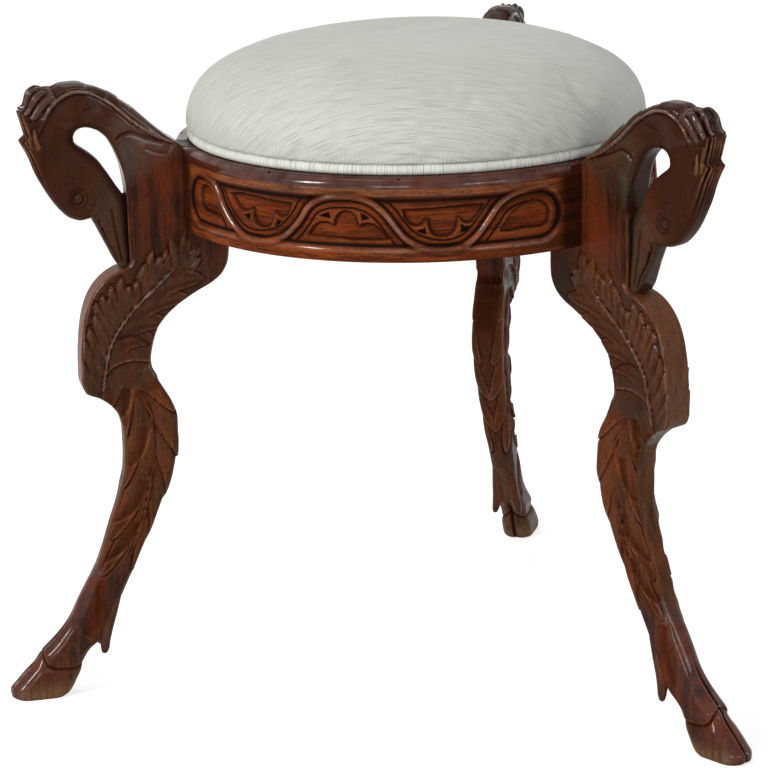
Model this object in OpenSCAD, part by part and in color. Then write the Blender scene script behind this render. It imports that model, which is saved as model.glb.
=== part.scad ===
// Round upholstered stool on three swan-headed cabriole legs with cloven hooves.
// The stool's axis is Z, the floor is z = 0. Each leg lies in one upright plane through the axis,
// and three curved, panelled rails are dowelled between the legs.
// The seat is a stuffed round pad on a wooden ring, screwed up through the corner blocks.

/* [Seat] */
// Diameter of the seat over its welt
seat_d = 356; // [320:2:400]
// Height of the pad's crown above the top of the frame
cushion_h = 78; // [60:1:95]
// Diameter of the welt cord round the foot of the pad
welt_d = 8; // [6:0.5:10]
// Thickness of the velvet cover
cover_t = 1.5; // [1:0.1:2]
// Thickness of the wooden seat ring
ring_t = 18; // [15:1:22]
// Width of the wooden seat ring, from its outer edge inward
ring_w = 50; // [44:1:60]
// Width of one webbing strap
strap_w = 50; // [40:1:54]
// Thickness of one webbing strap
strap_t = 1.2; // [0.8:0.1:2]
// Thickness of the hessian over the webbing
hessian_t = 0.8; // [0.6:0.1:1.5]
// Thickness of the dust cover under the seat
dust_t = 0.8; // [0.6:0.1:1.1]

/* [Frame] */
// Height of the top of the frame, where the seat rests
frame_h = 434; // [400:2:470]
// Height of a curved rail
rail_h = 54; // [48:1:60]
// Thickness of a curved rail
rail_t = 22; // [20:1:26]
// How far the rails stand out beyond the seat's welt
rail_proud = 9; // [7:0.5:12]
// Height of the moulding on top of the rails
moulding_h = 8; // [7:0.5:10]
// Depth of the carved panel in a rail
panel_depth = 4; // [2:0.5:6]
// Height of the plain strip above and below the panel
panel_strip = 7; // [5:0.5:9]
// Plain width between the panel's end and the leg
panel_margin = 13; // [9:1:20]
// Height of a corner block
block_h = 32; // [28:1:38]
// Half the length of a corner block's inner face
block_half = 50; // [42:1:56]
// Depth of a corner block behind the rails
block_depth = 37; // [34:1:42]

/* [Legs] */
// Thickness of the plank that a leg is carved from
leg_t = 26; // [22:1:32]
// How far the toe stands out from the inner edge of the post
leg_throw = 187.5; // [170:0.5:205]
// Height of the swan's neck above the top of the frame
neck_rise = 53.5; // [45:0.5:66]
// How far the post's inner edge stands in behind the rails
post_inset = 12.5; // [8:0.5:18]
// Length of a dewclaw
dewclaw_l = 18; // [14:1:22]

/* [Joints and fasteners] */
// Diameter of the dowels between legs and rails
dowel_d = 8; // [6:1:10]
// Depth of a dowel in a rail
dowel_depth = 18; // [12:1:22]
// Upright distance between the two dowels of a leg
dowel_pitch = 28; // [22:1:30]
// Shank diameter of the screws
screw_d = 4; // [3:0.5:5]
// Length of the screws from blocks to rails
block_screw_l = 46; // [42:1:50]
// How far the seat screws bite into the seat ring
seat_screw_bite = 14; // [8:1:14]
// Diameter of the moulding's brads
brad_d = 1.6; // [1.2:0.1:2.5]
// Length of the moulding's brads
brad_l = 20; // [14:1:26]
// Diameter of a cover tack's head
tack_d = 6; // [4:0.5:7]
// Number of cover tacks
tack_count = 24; // [12:3:30]

/* [Hidden] */
$fn = 96;

// Directions of the three legs. A piece that lies between or behind legs is drawn
// for a leg at angle 0, and then turned to its own leg.
leg_left_a = 210;
leg_right_a = 330;
leg_back_a = 90;
leg_spacing = 120;
leg_turns = [0, leg_spacing, 2 * leg_spacing];
rail_middle_a = leg_spacing / 2;
half_turn = 180;
right_angle = 90;
full_turn = 360;

// Overrun of every cut, and the clearance of soft pieces
over = 1;
soft_gap = 0.3;

// Places that follow from the driving sizes
rail_r = seat_d / 2 + rail_proud;
rail_in = rail_r - rail_t;
rail_top = frame_h - moulding_h;
rail_z = rail_top - rail_h;
post_in = rail_in - post_inset;
dowel_r = (rail_r + rail_in) / 2;
dowel_z = rail_z + rail_h / 2 + moulding_h / 8;

// Colours of the woods, the fabrics and the metal
wood = [0.26, 0.10, 0.05];
plain_wood = [0.55, 0.38, 0.22];
velvet = [0.72, 0.75, 0.71];
cloth = [0.62, 0.52, 0.36];
black_cloth = [0.08, 0.08, 0.08];
steel = [0.60, 0.60, 0.62];

// A leg is a row of cross sections. Each has a back edge and a front edge in the leg's plane.
// A row holds: back edge outward, back edge up, front edge outward, front edge up,
// half thickness, rounding of the corners, depth of the cleft in the hoof or in the beak's tip.
// Outward shares count from the post's inner edge in throws of the leg.
// Upward shares count in frame heights up to 1, and then in neck rises above the frame.
leg_shares = [
    // Beak, head and cheek
    [0.451, 0.791, 0.432, 0.796, 0.74, 0.6, 0.1],
    [0.472, 0.804, 0.427, 0.816, 0.77, 0.6, 0],
    [0.499, 0.828, 0.427, 0.843, 0.77, 0.65, 0],
    [0.525, 0.853, 0.427, 0.871, 0.77, 0.75, 0],
    [0.547, 0.872, 0.427, 0.896, 0.78, 0.8, 0],
    [0.563, 0.882, 0.430, 0.918, 0.8, 0.8, 0],
    [0.600, 0.879, 0.448, 0.937, 0.86, 0.75, 0],
    [0.643, 0.885, 0.470, 0.953, 0.93, 0.75, 0],
    [0.680, 0.899, 0.493, 0.969, 0.96, 0.75, 0],
    [0.715, 0.919, 0.518, 0.984, 0.97, 0.75, 0],
    [0.747, 0.944, 0.546, 0.995, 0.95, 0.75, 0],
    [0.773, 0.968, 0.575, 1.041, 0.92, 0.75, 0],
    [0.792, 0.991, 0.597, 1.099, 0.9, 0.75, 0],
    [0.808, 1.054, 0.607, 1.141, 0.9, 0.75, 0],
    // Feather tips at the nape
    [0.830, 1.207, 0.612, 1.187, 0.9, 0.7, 0],
    [0.807, 1.279, 0.612, 1.231, 0.92, 0.7, 0],
    [0.820, 1.450, 0.607, 1.274, 0.95, 0.7, 0],
    [0.831, 1.613, 0.600, 1.312, 0.96, 0.7, 0],
    [0.803, 1.703, 0.588, 1.339, 0.96, 0.7, 0],
    [0.785, 1.892, 0.575, 1.351, 0.96, 0.7, 0],
    [0.747, 1.966, 0.563, 1.353, 0.96, 0.7, 0],
    // Arch of the neck
    [0.712, 1.942, 0.549, 1.346, 0.96, 0.7, 0],
    [0.659, 1.989, 0.533, 1.326, 0.96, 0.7, 0],
    [0.600, 2.000, 0.515, 1.295, 0.96, 0.7, 0],
    [0.547, 1.966, 0.499, 1.252, 0.96, 0.7, 0],
    [0.488, 1.883, 0.483, 1.195, 0.96, 0.7, 0],
    [0.424, 1.750, 0.467, 1.108, 0.96, 0.65, 0],
    [0.357, 1.559, 0.452, 1.000, 0.97, 0.55, 0],
    [0.301, 1.369, 0.436, 0.983, 0.98, 0.4, 0],
    [0.248, 1.204, 0.424, 0.965, 1, 0.3, 0],
    [0.203, 1.085, 0.417, 0.947, 1, 0.2, 0],
    // Post with its flat top
    [0.163, 1.000, 0.412, 0.932, 1, 0.12, 0],
    [0.080, 1.000, 0.411, 0.924, 1, 0.12, 0],
    [0.000, 1.000, 0.411, 0.915, 1, 0.12, 0],
    [0.000, 0.977, 0.411, 0.902, 1, 0.12, 0],
    [0.000, 0.922, 0.411, 0.871, 1, 0.12, 0],
    [0.000, 0.866, 0.411, 0.834, 1, 0.12, 0],
    [0.000, 0.820, 0.410, 0.806, 1, 0.12, 0],
    [0.006, 0.795, 0.421, 0.792, 1, 0.12, 0],
    // Knee
    [0.029, 0.772, 0.464, 0.786, 1, 0.12, 0],
    [0.075, 0.755, 0.509, 0.775, 1, 0.14, 0],
    [0.141, 0.740, 0.557, 0.755, 1, 0.16, 0],
    [0.203, 0.724, 0.592, 0.728, 1, 0.18, 0],
    [0.261, 0.703, 0.614, 0.696, 1, 0.2, 0],
    [0.307, 0.680, 0.626, 0.661, 1, 0.2, 0],
    [0.332, 0.650, 0.632, 0.624, 1, 0.2, 0],
    [0.344, 0.622, 0.634, 0.591, 1, 0.2, 0],
    [0.340, 0.606, 0.619, 0.568, 1, 0.2, 0],
    // Shank
    [0.315, 0.588, 0.565, 0.555, 1, 0.3, 0],
    [0.285, 0.565, 0.516, 0.537, 1, 0.45, 0],
    [0.251, 0.537, 0.485, 0.515, 1, 0.55, 0],
    [0.232, 0.508, 0.473, 0.488, 1, 0.6, 0],
    [0.232, 0.477, 0.472, 0.455, 1, 0.6, 0],
    [0.242, 0.441, 0.477, 0.419, 0.98, 0.65, 0],
    [0.259, 0.411, 0.492, 0.392, 0.96, 0.65, 0],
    [0.285, 0.379, 0.510, 0.361, 0.94, 0.7, 0],
    [0.339, 0.329, 0.547, 0.317, 0.9, 0.7, 0],
    [0.381, 0.288, 0.586, 0.267, 0.88, 0.75, 0],
    [0.422, 0.249, 0.629, 0.227, 0.85, 0.75, 0],
    [0.485, 0.191, 0.691, 0.179, 0.8, 0.8, 0],
    [0.531, 0.150, 0.739, 0.139, 0.78, 0.8, 0],
    [0.563, 0.119, 0.787, 0.114, 0.78, 0.8, 0],
    // Pastern and cloven hoof
    [0.597, 0.099, 0.824, 0.099, 0.82, 0.75, 0],
    [0.640, 0.085, 0.870, 0.083, 0.92, 0.7, 0.1],
    [0.667, 0.065, 0.883, 0.068, 0.96, 0.6, 0.22],
    [0.685, 0.046, 0.923, 0.051, 0.98, 0.5, 0.3],
    [0.712, 0.031, 0.965, 0.031, 1, 0.45, 0.34],
    [0.733, 0.015, 0.998, 0.016, 1, 0.45, 0.36],
    [0.749, 0.000, 0.979, 0.000, 0.96, 0.45, 0.36]
];
corner_steps = 3;

// The uncut wood that ties the beak to the post, as shares like those of the sections
web_s_share = [0.4, 0.445];
web_z_share = [0.806, 0.912];
web_half_share = 0.56;

// Where the dewclaws grow from the leg, as shares like those of the sections
dewclaw_share = [0.62, 0.105];
dewclaw_spread_share = 0.6;
dewclaw_r_share = 0.32;
dewclaw_tip_share = 0.4;
dewclaw_lean = 18;

function leg_s(share) = post_in + share * leg_throw;
function leg_z(share) = share <= 1 ? share * frame_h : frame_h + (share - 1) * neck_rise;

// Points of one cross section, once round from its front edge
function corner_arc(sign_x, sign_y, w, b, r, first) = [
    for (k = [0 : corner_steps])
        let (a = first + right_angle * k / corner_steps)
        [sign_x * (w - r) + r * cos(a), sign_y * (b - r) + r * sin(a)]
];
function flat_section(w, b, r, cleft) = concat(
    [[w - cleft * b, 0]],
    corner_arc(1, 1, w, b, r, 0),
    corner_arc(-1, 1, w, b, r, right_angle),
    [[-w + cleft * b / 2, 0]],
    corner_arc(-1, -1, w, b, r, half_turn),
    corner_arc(1, -1, w, b, r, half_turn + right_angle)
);
function leg_section(row) =
    let (
        back = [leg_s(row[0]), leg_z(row[1])],
        front = [leg_s(row[2]), leg_z(row[3])],
        middle = (back + front) / 2,
        w = norm(front - back) / 2,
        along = (front - back) / (2 * w),
        b = row[4] * leg_t / 2,
        r = row[5] * min(w, b)
    )
    [for (p = flat_section(w, b, r, row[6])) [middle[0] + along[0] * p[0], p[1], middle[1] + along[1] * p[0]]];

// Skin over a row of closed sections, with a flat face at each end
module swept(sections) {
    n = len(sections[0]);
    last = (len(sections) - 1) * n;
    sides = [
        for (i = [0 : len(sections) - 2])
            for (j = [0 : n - 1])
                let (a = i * n + j, b = i * n + (j + 1) % n)
                each [[a, b, a + n], [b, b + n, a + n]]
    ];
    ends = [[for (j = [0 : n - 1]) n - 1 - j], [for (j = [0 : n - 1]) last + j]];
    polyhedron([for (s = sections) each s], concat(sides, ends), convexity = 10);
}

// Two bores through a leg and into the rails beside it
module dowel_pair(length, d) {
    for (side = [-1, 1])
        translate([dowel_r, 0, dowel_z + side * dowel_pitch / 2])
            rotate([right_angle, 0, 0])
                cylinder(d = d, h = length, center = true);
}

module beak_web() {
    half = web_half_share * leg_t / 2;
    translate([leg_s(web_s_share[0]), -half, leg_z(web_z_share[0])])
        cube([leg_s(web_s_share[1]) - leg_s(web_s_share[0]), 2 * half, leg_z(web_z_share[1]) - leg_z(web_z_share[0])]);
}

// A pair of small claws behind the ankle
module dewclaws() {
    for (side = [-1, 1])
        translate([leg_s(dewclaw_share[0]), side * dewclaw_spread_share * leg_t / 2, leg_z(dewclaw_share[1])])
            rotate([0, half_turn + dewclaw_lean, 0])
                cylinder(
                    r1 = dewclaw_r_share * leg_t / 2,
                    r2 = dewclaw_r_share * dewclaw_tip_share * leg_t / 2,
                    h = dewclaw_l,
                    $fn = 24
                );
}

module leg() {
    color(wood)
        difference() {
            union() {
                swept([for (row = leg_shares) leg_section(row)]);
                beak_web();
                dewclaws();
            }
            dowel_pair(leg_t + 2 * over, dowel_d);
        }
}

// A ring sector from the leg at angle 0 to the next leg, from a profile in radius and height
module between_legs() {
    difference() {
        rotate_extrude(angle = leg_spacing)
            children();
        for (a = [0, leg_spacing])
            rotate(a)
                translate([0, -leg_t / 2, rail_z - over])
                    cube([rail_r + over, leg_t, rail_h + moulding_h + 2 * over]);
    }
}

panel_h = rail_h - 2 * panel_strip;
panel_z = rail_z + rail_h / 2;
panel_floor_r = rail_r - panel_depth;
arc_degrees = half_turn / PI;
leg_half_a = asin(leg_t / 2 / rail_r);
panel_end_a = leg_spacing / 2 - leg_half_a - (panel_margin + panel_h / 2) / rail_r * arc_degrees;

// The round-ended panel that is sunk into a rail's face, down to a floor that follows the rail
module panel_recess() {
    rotate([0, 0, rail_middle_a - panel_end_a])
        rotate_extrude(angle = 2 * panel_end_a)
            translate([panel_floor_r, panel_z - panel_h / 2])
                square([panel_depth + over, panel_h]);
    intersection() {
        rotate_extrude(angle = leg_spacing)
            translate([panel_floor_r, rail_z])
                square([panel_depth + over, rail_h]);
        for (side = [-1, 1])
            rotate([0, 0, rail_middle_a + side * panel_end_a])
                translate([rail_in, 0, panel_z])
                    rotate([0, right_angle, 0])
                        cylinder(d = panel_h, h = rail_t + 2 * over);
    }
}

block_screw_y_share = 0.68;
block_screw_y = block_half * block_screw_y_share;
block_top = frame_h - 1.5 * dust_t;
block_z = block_top - block_h;
block_face = rail_in - block_depth;
block_screw_z = dowel_z;
screw_head_d = 2 * screw_d;
screw_head_h = screw_head_d / 4;

// A countersunk screw with its head's face at the origin, pointing up
module screw(length) {
    cylinder(d1 = screw_head_d, d2 = screw_d, h = screw_head_h);
    translate([0, 0, screw_head_h])
        cylinder(d = screw_d, h = length - screw_head_h);
}

// The screws from all corner blocks outward into the rails
module block_screw_set() {
    for (a = leg_turns)
        for (side = [-1, 1])
            rotate(a)
                translate([block_face, side * block_screw_y, block_screw_z])
                    rotate([0, right_angle, 0])
                        screw(block_screw_l);
}

module dowel_set() {
    for (a = leg_turns)
        rotate(a)
            dowel_pair(leg_t + 2 * dowel_depth, dowel_d);
}

brad_count = 4;
brad_step = 32;
brad_first = -52;
brad_r = seat_d / 2 + rail_proud / 3;

// The brads that hold one strip of moulding, their heads punched just below its surface
module brad_row() {
    for (i = [0 : brad_count - 1])
        rotate(rail_middle_a + brad_first + i * brad_step)
            translate([brad_r, 0, frame_h - moulding_h / 4 - brad_l])
                cylinder(d = brad_d, h = brad_l, $fn = 24);
}

module apron() {
    color(wood)
        difference() {
            between_legs()
                translate([rail_in, rail_z])
                    square([rail_t, rail_h]);
            panel_recess();
            dowel_set();
            block_screw_set();
            brad_row();
        }
}

stop_l = 16;
moulding_flat = rail_proud / 6;
moulding_round_r = rail_r - seat_d / 2;
stop_a = leg_spacing / 2 - leg_half_a - stop_l / rail_r * arc_degrees;
moulding_steps = 8;

// What the rounded face takes off the outer upper edge of the moulding
module moulding_hollow() {
    polygon(concat(
        [[rail_r + over, frame_h + over], [seat_d / 2, frame_h + over]],
        [
            for (i = [0 : moulding_steps])
                let (a = right_angle * i / moulding_steps)
                [
                    seat_d / 2 + moulding_round_r * sin(a),
                    rail_top + moulding_flat + (moulding_h - moulding_flat) * cos(a)
                ]
        ],
        [[rail_r + over, rail_top + moulding_flat]]
    ));
}

module moulding() {
    color(wood)
        difference() {
            between_legs()
                translate([rail_in, rail_top])
                    square([rail_t, moulding_h]);
            rotate([0, 0, rail_middle_a - stop_a])
                rotate_extrude(angle = 2 * stop_a)
                    moulding_hollow();
            brad_row();
        }
}

seat_screw_l = frame_h + cover_t + seat_screw_bite - block_z;
seat_screw_r = block_face + block_depth / 4;

module seat_screw_set() {
    for (a = leg_turns)
        rotate(a)
            translate([seat_screw_r, 0, block_z])
                screw(seat_screw_l);
}

// A block glued and screwed behind each leg joint, notched round the post
module corner_block() {
    color(plain_wood)
        difference() {
            intersection() {
                translate([0, 0, block_z])
                    cylinder(r = rail_in, h = block_h);
                translate([block_face, -block_half, block_z - over])
                    cube([block_depth + over, 2 * block_half, block_h + 2 * over]);
            }
            translate([post_in, -leg_t / 2, block_z - over])
                cube([block_depth, leg_t, block_h + 2 * over]);
            block_screw_set();
            seat_screw_set();
        }
}

module leg_dowels() {
    color(plain_wood)
        dowel_set();
}

module block_screws() {
    color(steel)
        block_screw_set();
}

module seat_screws() {
    color(steel)
        seat_screw_set();
}

module moulding_brads() {
    color(steel)
        for (a = leg_turns)
            rotate(a)
                brad_row();
}

// Levels of the seat, from the underside of the turned-in cover upward
ring_z = frame_h + cover_t;
ring_top = ring_z + ring_t;
tuck_r = (seat_d - 2 * welt_d) / 2 - soft_gap;
ring_r = tuck_r - cover_t - soft_gap;
strap_z = ring_top;
hessian_z = strap_z + 2 * strap_t;
stuffing_z = hessian_z + hessian_t + soft_gap;

module seat_ring() {
    color(plain_wood)
        difference() {
            translate([0, 0, ring_z])
                cylinder(r = ring_r, h = ring_t);
            translate([0, 0, ring_z - over])
                cylinder(r = ring_r - ring_w, h = ring_t + 2 * over);
            seat_screw_set();
            cover_tack_set();
        }
}

strap_count = 3;
strap_gap_share = 0.3;
strap_edge = 2;

// Straps across the ring, one layer each way
module webbing() {
    color(cloth)
        intersection() {
            union() {
                for (i = [0 : strap_count - 1]) {
                    y = (i - (strap_count - 1) / 2) * strap_w * (1 + strap_gap_share);
                    translate([-ring_r, y - strap_w / 2, strap_z])
                        cube([2 * ring_r, strap_w, strap_t]);
                    translate([y - strap_w / 2, -ring_r, strap_z + strap_t])
                        cube([strap_w, 2 * ring_r, strap_t]);
                }
            }
            translate([0, 0, strap_z - over])
                cylinder(r = ring_r - strap_edge, h = 2 * strap_t + 2 * over);
        }
}

module hessian() {
    color(cloth)
        translate([0, 0, hessian_z])
            cylinder(r = ring_r - strap_edge / 2, h = hessian_t);
}

// The pad's outline: a flat-topped dome over a tuck that draws in above the welt
dome_steps = 22;
tuck_steps = 6;
dome_width_power = 2.41;
dome_height_power = 2.47;
tuck_rise = 0.45 * welt_d;
dome_z = frame_h + welt_d + soft_gap + tuck_rise;
dome_r = seat_d / 2 - soft_gap;
dome_rise = frame_h + cushion_h - dome_z;

function pad_outline(inset) = concat(
    [
        for (i = [0 : tuck_steps - 1])
            let (a = right_angle * i / tuck_steps)
            [
                tuck_r - inset + (dome_r - tuck_r) * sin(a),
                dome_z + inset - tuck_rise * cos(a)
            ]
    ],
    [
        for (i = [0 : dome_steps])
            let (a = right_angle * i / dome_steps)
            [
                (dome_r - inset) * pow(cos(a), 2 / dome_width_power),
                dome_z + inset + (dome_rise - 2 * inset) * pow(sin(a), 2 / dome_height_power)
            ]
    ]
);

cover_turn = 20;

module seat_cover() {
    inner = pad_outline(cover_t);
    color(velvet)
        rotate_extrude()
            polygon(concat(
                [[tuck_r - cover_turn, frame_h], [tuck_r, frame_h]],
                pad_outline(0),
                [for (i = [len(inner) - 1 : -1 : 0]) inner[i]],
                [[tuck_r - cover_t, frame_h + cover_t], [tuck_r - cover_turn, frame_h + cover_t]]
            ));
}

module stuffing() {
    color(cloth)
        rotate_extrude()
            polygon(concat(
                [[0, stuffing_z], [ring_r + soft_gap, stuffing_z]],
                [[ring_r + soft_gap, dome_z + cover_t + soft_gap]],
                [for (p = pad_outline(cover_t + soft_gap)) if (p[1] > dome_z + cover_t + soft_gap || p[0] == 0) p]
            ));
}

module welt() {
    color(velvet)
        rotate_extrude()
            translate([(seat_d - welt_d) / 2, frame_h + welt_d / 2])
                circle(d = welt_d, $fn = 32);
}

module dust_cover() {
    color(black_cloth)
        difference() {
            translate([0, 0, ring_z - dust_t])
                cylinder(r = tuck_r - cover_turn - soft_gap, h = dust_t);
            seat_screw_set();
        }
}

tack_head_t = 0.9;
tack_shank_share = 0.35;
tack_l = 11;

// Tacks through the turned-in cover into the ring, set clear of the posts
module cover_tack_set() {
    for (i = [0 : tack_count - 1])
        rotate(full_turn * (i + 1 / 2) / tack_count)
            translate([tuck_r - cover_turn * 3 / 4, 0, frame_h - tack_head_t]) {
                cylinder(d = tack_d, h = tack_head_t);
                cylinder(d = tack_d * tack_shank_share, h = tack_l);
            }
}

module cover_tacks() {
    color(steel)
        cover_tack_set();
}

rotate(leg_left_a) leg();  // leg_left
rotate(leg_right_a) leg();  // leg_right
rotate(leg_back_a) leg();  // leg_back
rotate(leg_left_a) apron();  // apron_front
rotate(leg_back_a) apron();  // apron_left
rotate(leg_right_a) apron();  // apron_right
rotate(leg_left_a) moulding();  // moulding_front
rotate(leg_back_a) moulding();  // moulding_left
rotate(leg_right_a) moulding();  // moulding_right
rotate(leg_left_a) corner_block();  // corner_block_left
rotate(leg_right_a) corner_block();  // corner_block_right
rotate(leg_back_a) corner_block();  // corner_block_back
rotate(leg_back_a) leg_dowels();
rotate(leg_back_a) block_screws();
rotate(leg_back_a) seat_screws();
rotate(leg_back_a) moulding_brads();
rotate(leg_back_a) seat_ring();
webbing();
hessian();
stuffing();
seat_cover();
welt();
rotate(leg_back_a) dust_cover();
rotate(leg_back_a) cover_tacks();
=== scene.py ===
"""Dressed model of the round upholstered stool on three swan-headed legs.

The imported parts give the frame. The carved legs, the carved rails, the moulding, the velvet cover, its welt,
the stuffing and the tacks are modelled here in full and stand for their plain solids. The blocks, screws,
dowels, ring, webbing and cloths under the seat keep their shapes and get their finishes.
"""

import logging
import math
from dataclasses import dataclass, field, replace
from enum import Enum

import bmesh
import bpy
import numpy as np
from mathutils import Matrix, Vector


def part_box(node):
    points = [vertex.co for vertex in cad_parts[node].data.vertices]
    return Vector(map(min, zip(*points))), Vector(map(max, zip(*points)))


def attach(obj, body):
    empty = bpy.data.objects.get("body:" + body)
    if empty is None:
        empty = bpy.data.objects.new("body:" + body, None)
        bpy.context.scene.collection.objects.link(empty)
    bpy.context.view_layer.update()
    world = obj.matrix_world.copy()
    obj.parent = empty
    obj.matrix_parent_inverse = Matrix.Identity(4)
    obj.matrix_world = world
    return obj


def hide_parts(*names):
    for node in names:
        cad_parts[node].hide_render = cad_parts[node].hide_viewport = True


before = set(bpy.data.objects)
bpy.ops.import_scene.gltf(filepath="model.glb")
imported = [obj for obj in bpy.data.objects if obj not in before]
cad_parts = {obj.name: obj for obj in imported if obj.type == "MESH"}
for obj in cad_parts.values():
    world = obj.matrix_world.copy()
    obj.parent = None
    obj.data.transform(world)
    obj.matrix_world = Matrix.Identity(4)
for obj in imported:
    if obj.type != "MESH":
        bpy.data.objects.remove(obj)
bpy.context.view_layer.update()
log = logging.getLogger("stool")

Array = np.ndarray
Line = list[tuple[float, float]]
Faces = list[tuple[int, ...]]
Material = bpy.types.Material
Node = bpy.types.Node
Object = bpy.types.Object
Socket = bpy.types.NodeSocket
Tree = bpy.types.NodeTree

MM = 0.001
FULL_TURN = 2 * math.pi
LEG_ANGLES = {"left": 210.0, "right": 330.0, "back": 90.0}
RAIL_ANGLES = {"front": 270.0, "left": 150.0, "right": 30.0}
# Shared sizes in millimetres: the legs' thickness, the frame's top, and the rails' faces and edges
PLANK = 26.0
FRAME_TOP = 434.0
RAIL_FACE = 187.0
RAIL_BACK = 165.0
RAIL_LOW = 372.0
RAIL_HIGH = 426.0
# Angle from the middle of a rail to the leg that it meets
REACH = math.radians(60) - math.asin(PLANK / 2 / RAIL_FACE)


# Curves and shapes in numbers

def ease(low: float, high: float, x: Array) -> Array:
    """Smooth step from 0 at low to 1 at high."""
    t = np.clip((x - low) / (high - low), 0.0, 1.0)
    return t * t * (3.0 - 2.0 * t)


def bell(x: Array, width: float) -> Array:
    """Rounded bump of height 1 at x = 0 that is gone two widths away."""
    return np.exp(-(x / width) ** 2)


def wave(x: Array) -> Array:
    """Wave between 0 and 1 that is 1 at every whole number."""
    return 0.5 + 0.5 * np.cos(FULL_TURN * x)


def circle(count: int) -> Array:
    """Evenly spaced angles round a full turn."""
    return np.linspace(0, FULL_TURN, count, endpoint=False)


def stacked(*parts: Array) -> Array:
    """Points from their coordinates, which are spread to one shape."""
    return np.stack(np.broadcast_arrays(*parts), axis=-1)


def spun(out: Array, turn: Array, up: Array) -> Array:
    """Points from distances to the axis, angles and heights."""
    return stacked(out * np.cos(turn), out * np.sin(turn), up)


def running(lengths: Array) -> Array:
    """Sums of the lengths so far along the last axis, from 0."""
    return np.concatenate([np.zeros_like(lengths[..., :1]), np.cumsum(lengths, axis=-1)], axis=-1)


def travelled(points: Array) -> Array:
    """Distance of each point from the first one along the line."""
    return running(np.linalg.norm(np.diff(points, axis=0), axis=1))


def monotone(values: Array, at: Array) -> Array:
    """Monotone cubic curve through values.

    Args:
        values: one row per whole parameter.
        at: parameters where the curve is wanted.

    Returns:
        One row per parameter in at.
    """
    slope = np.diff(values, axis=0)
    left, right = slope[:-1], slope[1:]
    same = left * right > 0
    inverse = 1 / np.where(same, left, 1.0) + 1 / np.where(same, right, 1.0)
    tangent = np.zeros_like(values)
    tangent[1:-1] = np.where(same, 2.0 / inverse, 0.0)
    tangent[0] = slope[0]
    tangent[-1] = slope[-1]
    i = np.clip(np.floor(at).astype(int), 0, len(values) - 2)
    t = (at - i)[:, None]
    return (
        values[i] * (2 * t**3 - 3 * t**2 + 1)
        + values[i + 1] * (3 * t**2 - 2 * t**3)
        + tangent[i] * (t**3 - 2 * t**2 + t)
        + tangent[i + 1] * (t**3 - t**2)
    )


def flowing(points: Line, count: int = 60) -> Array:
    """Evenly spaced points on a smooth curve through a few points."""
    p = np.array(points, float)
    ends = np.vstack([2 * p[0] - p[1], p, 2 * p[-1] - p[-2]])
    fine = []
    for i in range(len(p) - 1):
        t = np.linspace(0, 1, 16, endpoint=i == len(p) - 2)[:, None]
        a, b, c, d = ends[i:i + 4]
        bend = (2 * a - 5 * b + 4 * c - d) * t**2 + (3 * b - a - 3 * c + d) * t**3
        fine.append(0.5 * (2 * b + (c - a) * t + bend))
    fine = np.vstack(fine)
    run = travelled(fine)
    want = np.linspace(0, run[-1], count)
    return np.column_stack([np.interp(want, run, fine[:, k]) for k in range(2)])


@dataclass(frozen=True)
class LobeCut:
    """How one lobe of a leaf is carved.

    Lengths are in millimetres. A lobe climbs from under, the height of the ground that it grows from, to lift
    at its tip, with the power climb. Gap is the depth of the groove round it, and sharp the power of its
    taper. Flutes is the number of grooves on each half, and cut their depth as a share of lift. Root is the
    width at the root as a share of the greatest, and bowl how far the middle is hollowed. Keel and fall shape
    its cross section, worn says how much its ridges and edges are rubbed paler and painted with highlight,
    shade how dark the shade painted in its flutes is, and opens is where its groove and the shade painted in
    it begin.
    """

    lift: float
    under: float
    gap: float
    sharp: float
    climb: float = 0.7
    flutes: float = 0.0
    cut: float = 0.0
    root: float = 0.9
    bowl: float = 0.0
    worn: float = 0.4
    shade: float = 0.4
    keel: float = 2.4
    fall: float = 0.5
    opens: float = 0.05


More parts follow.
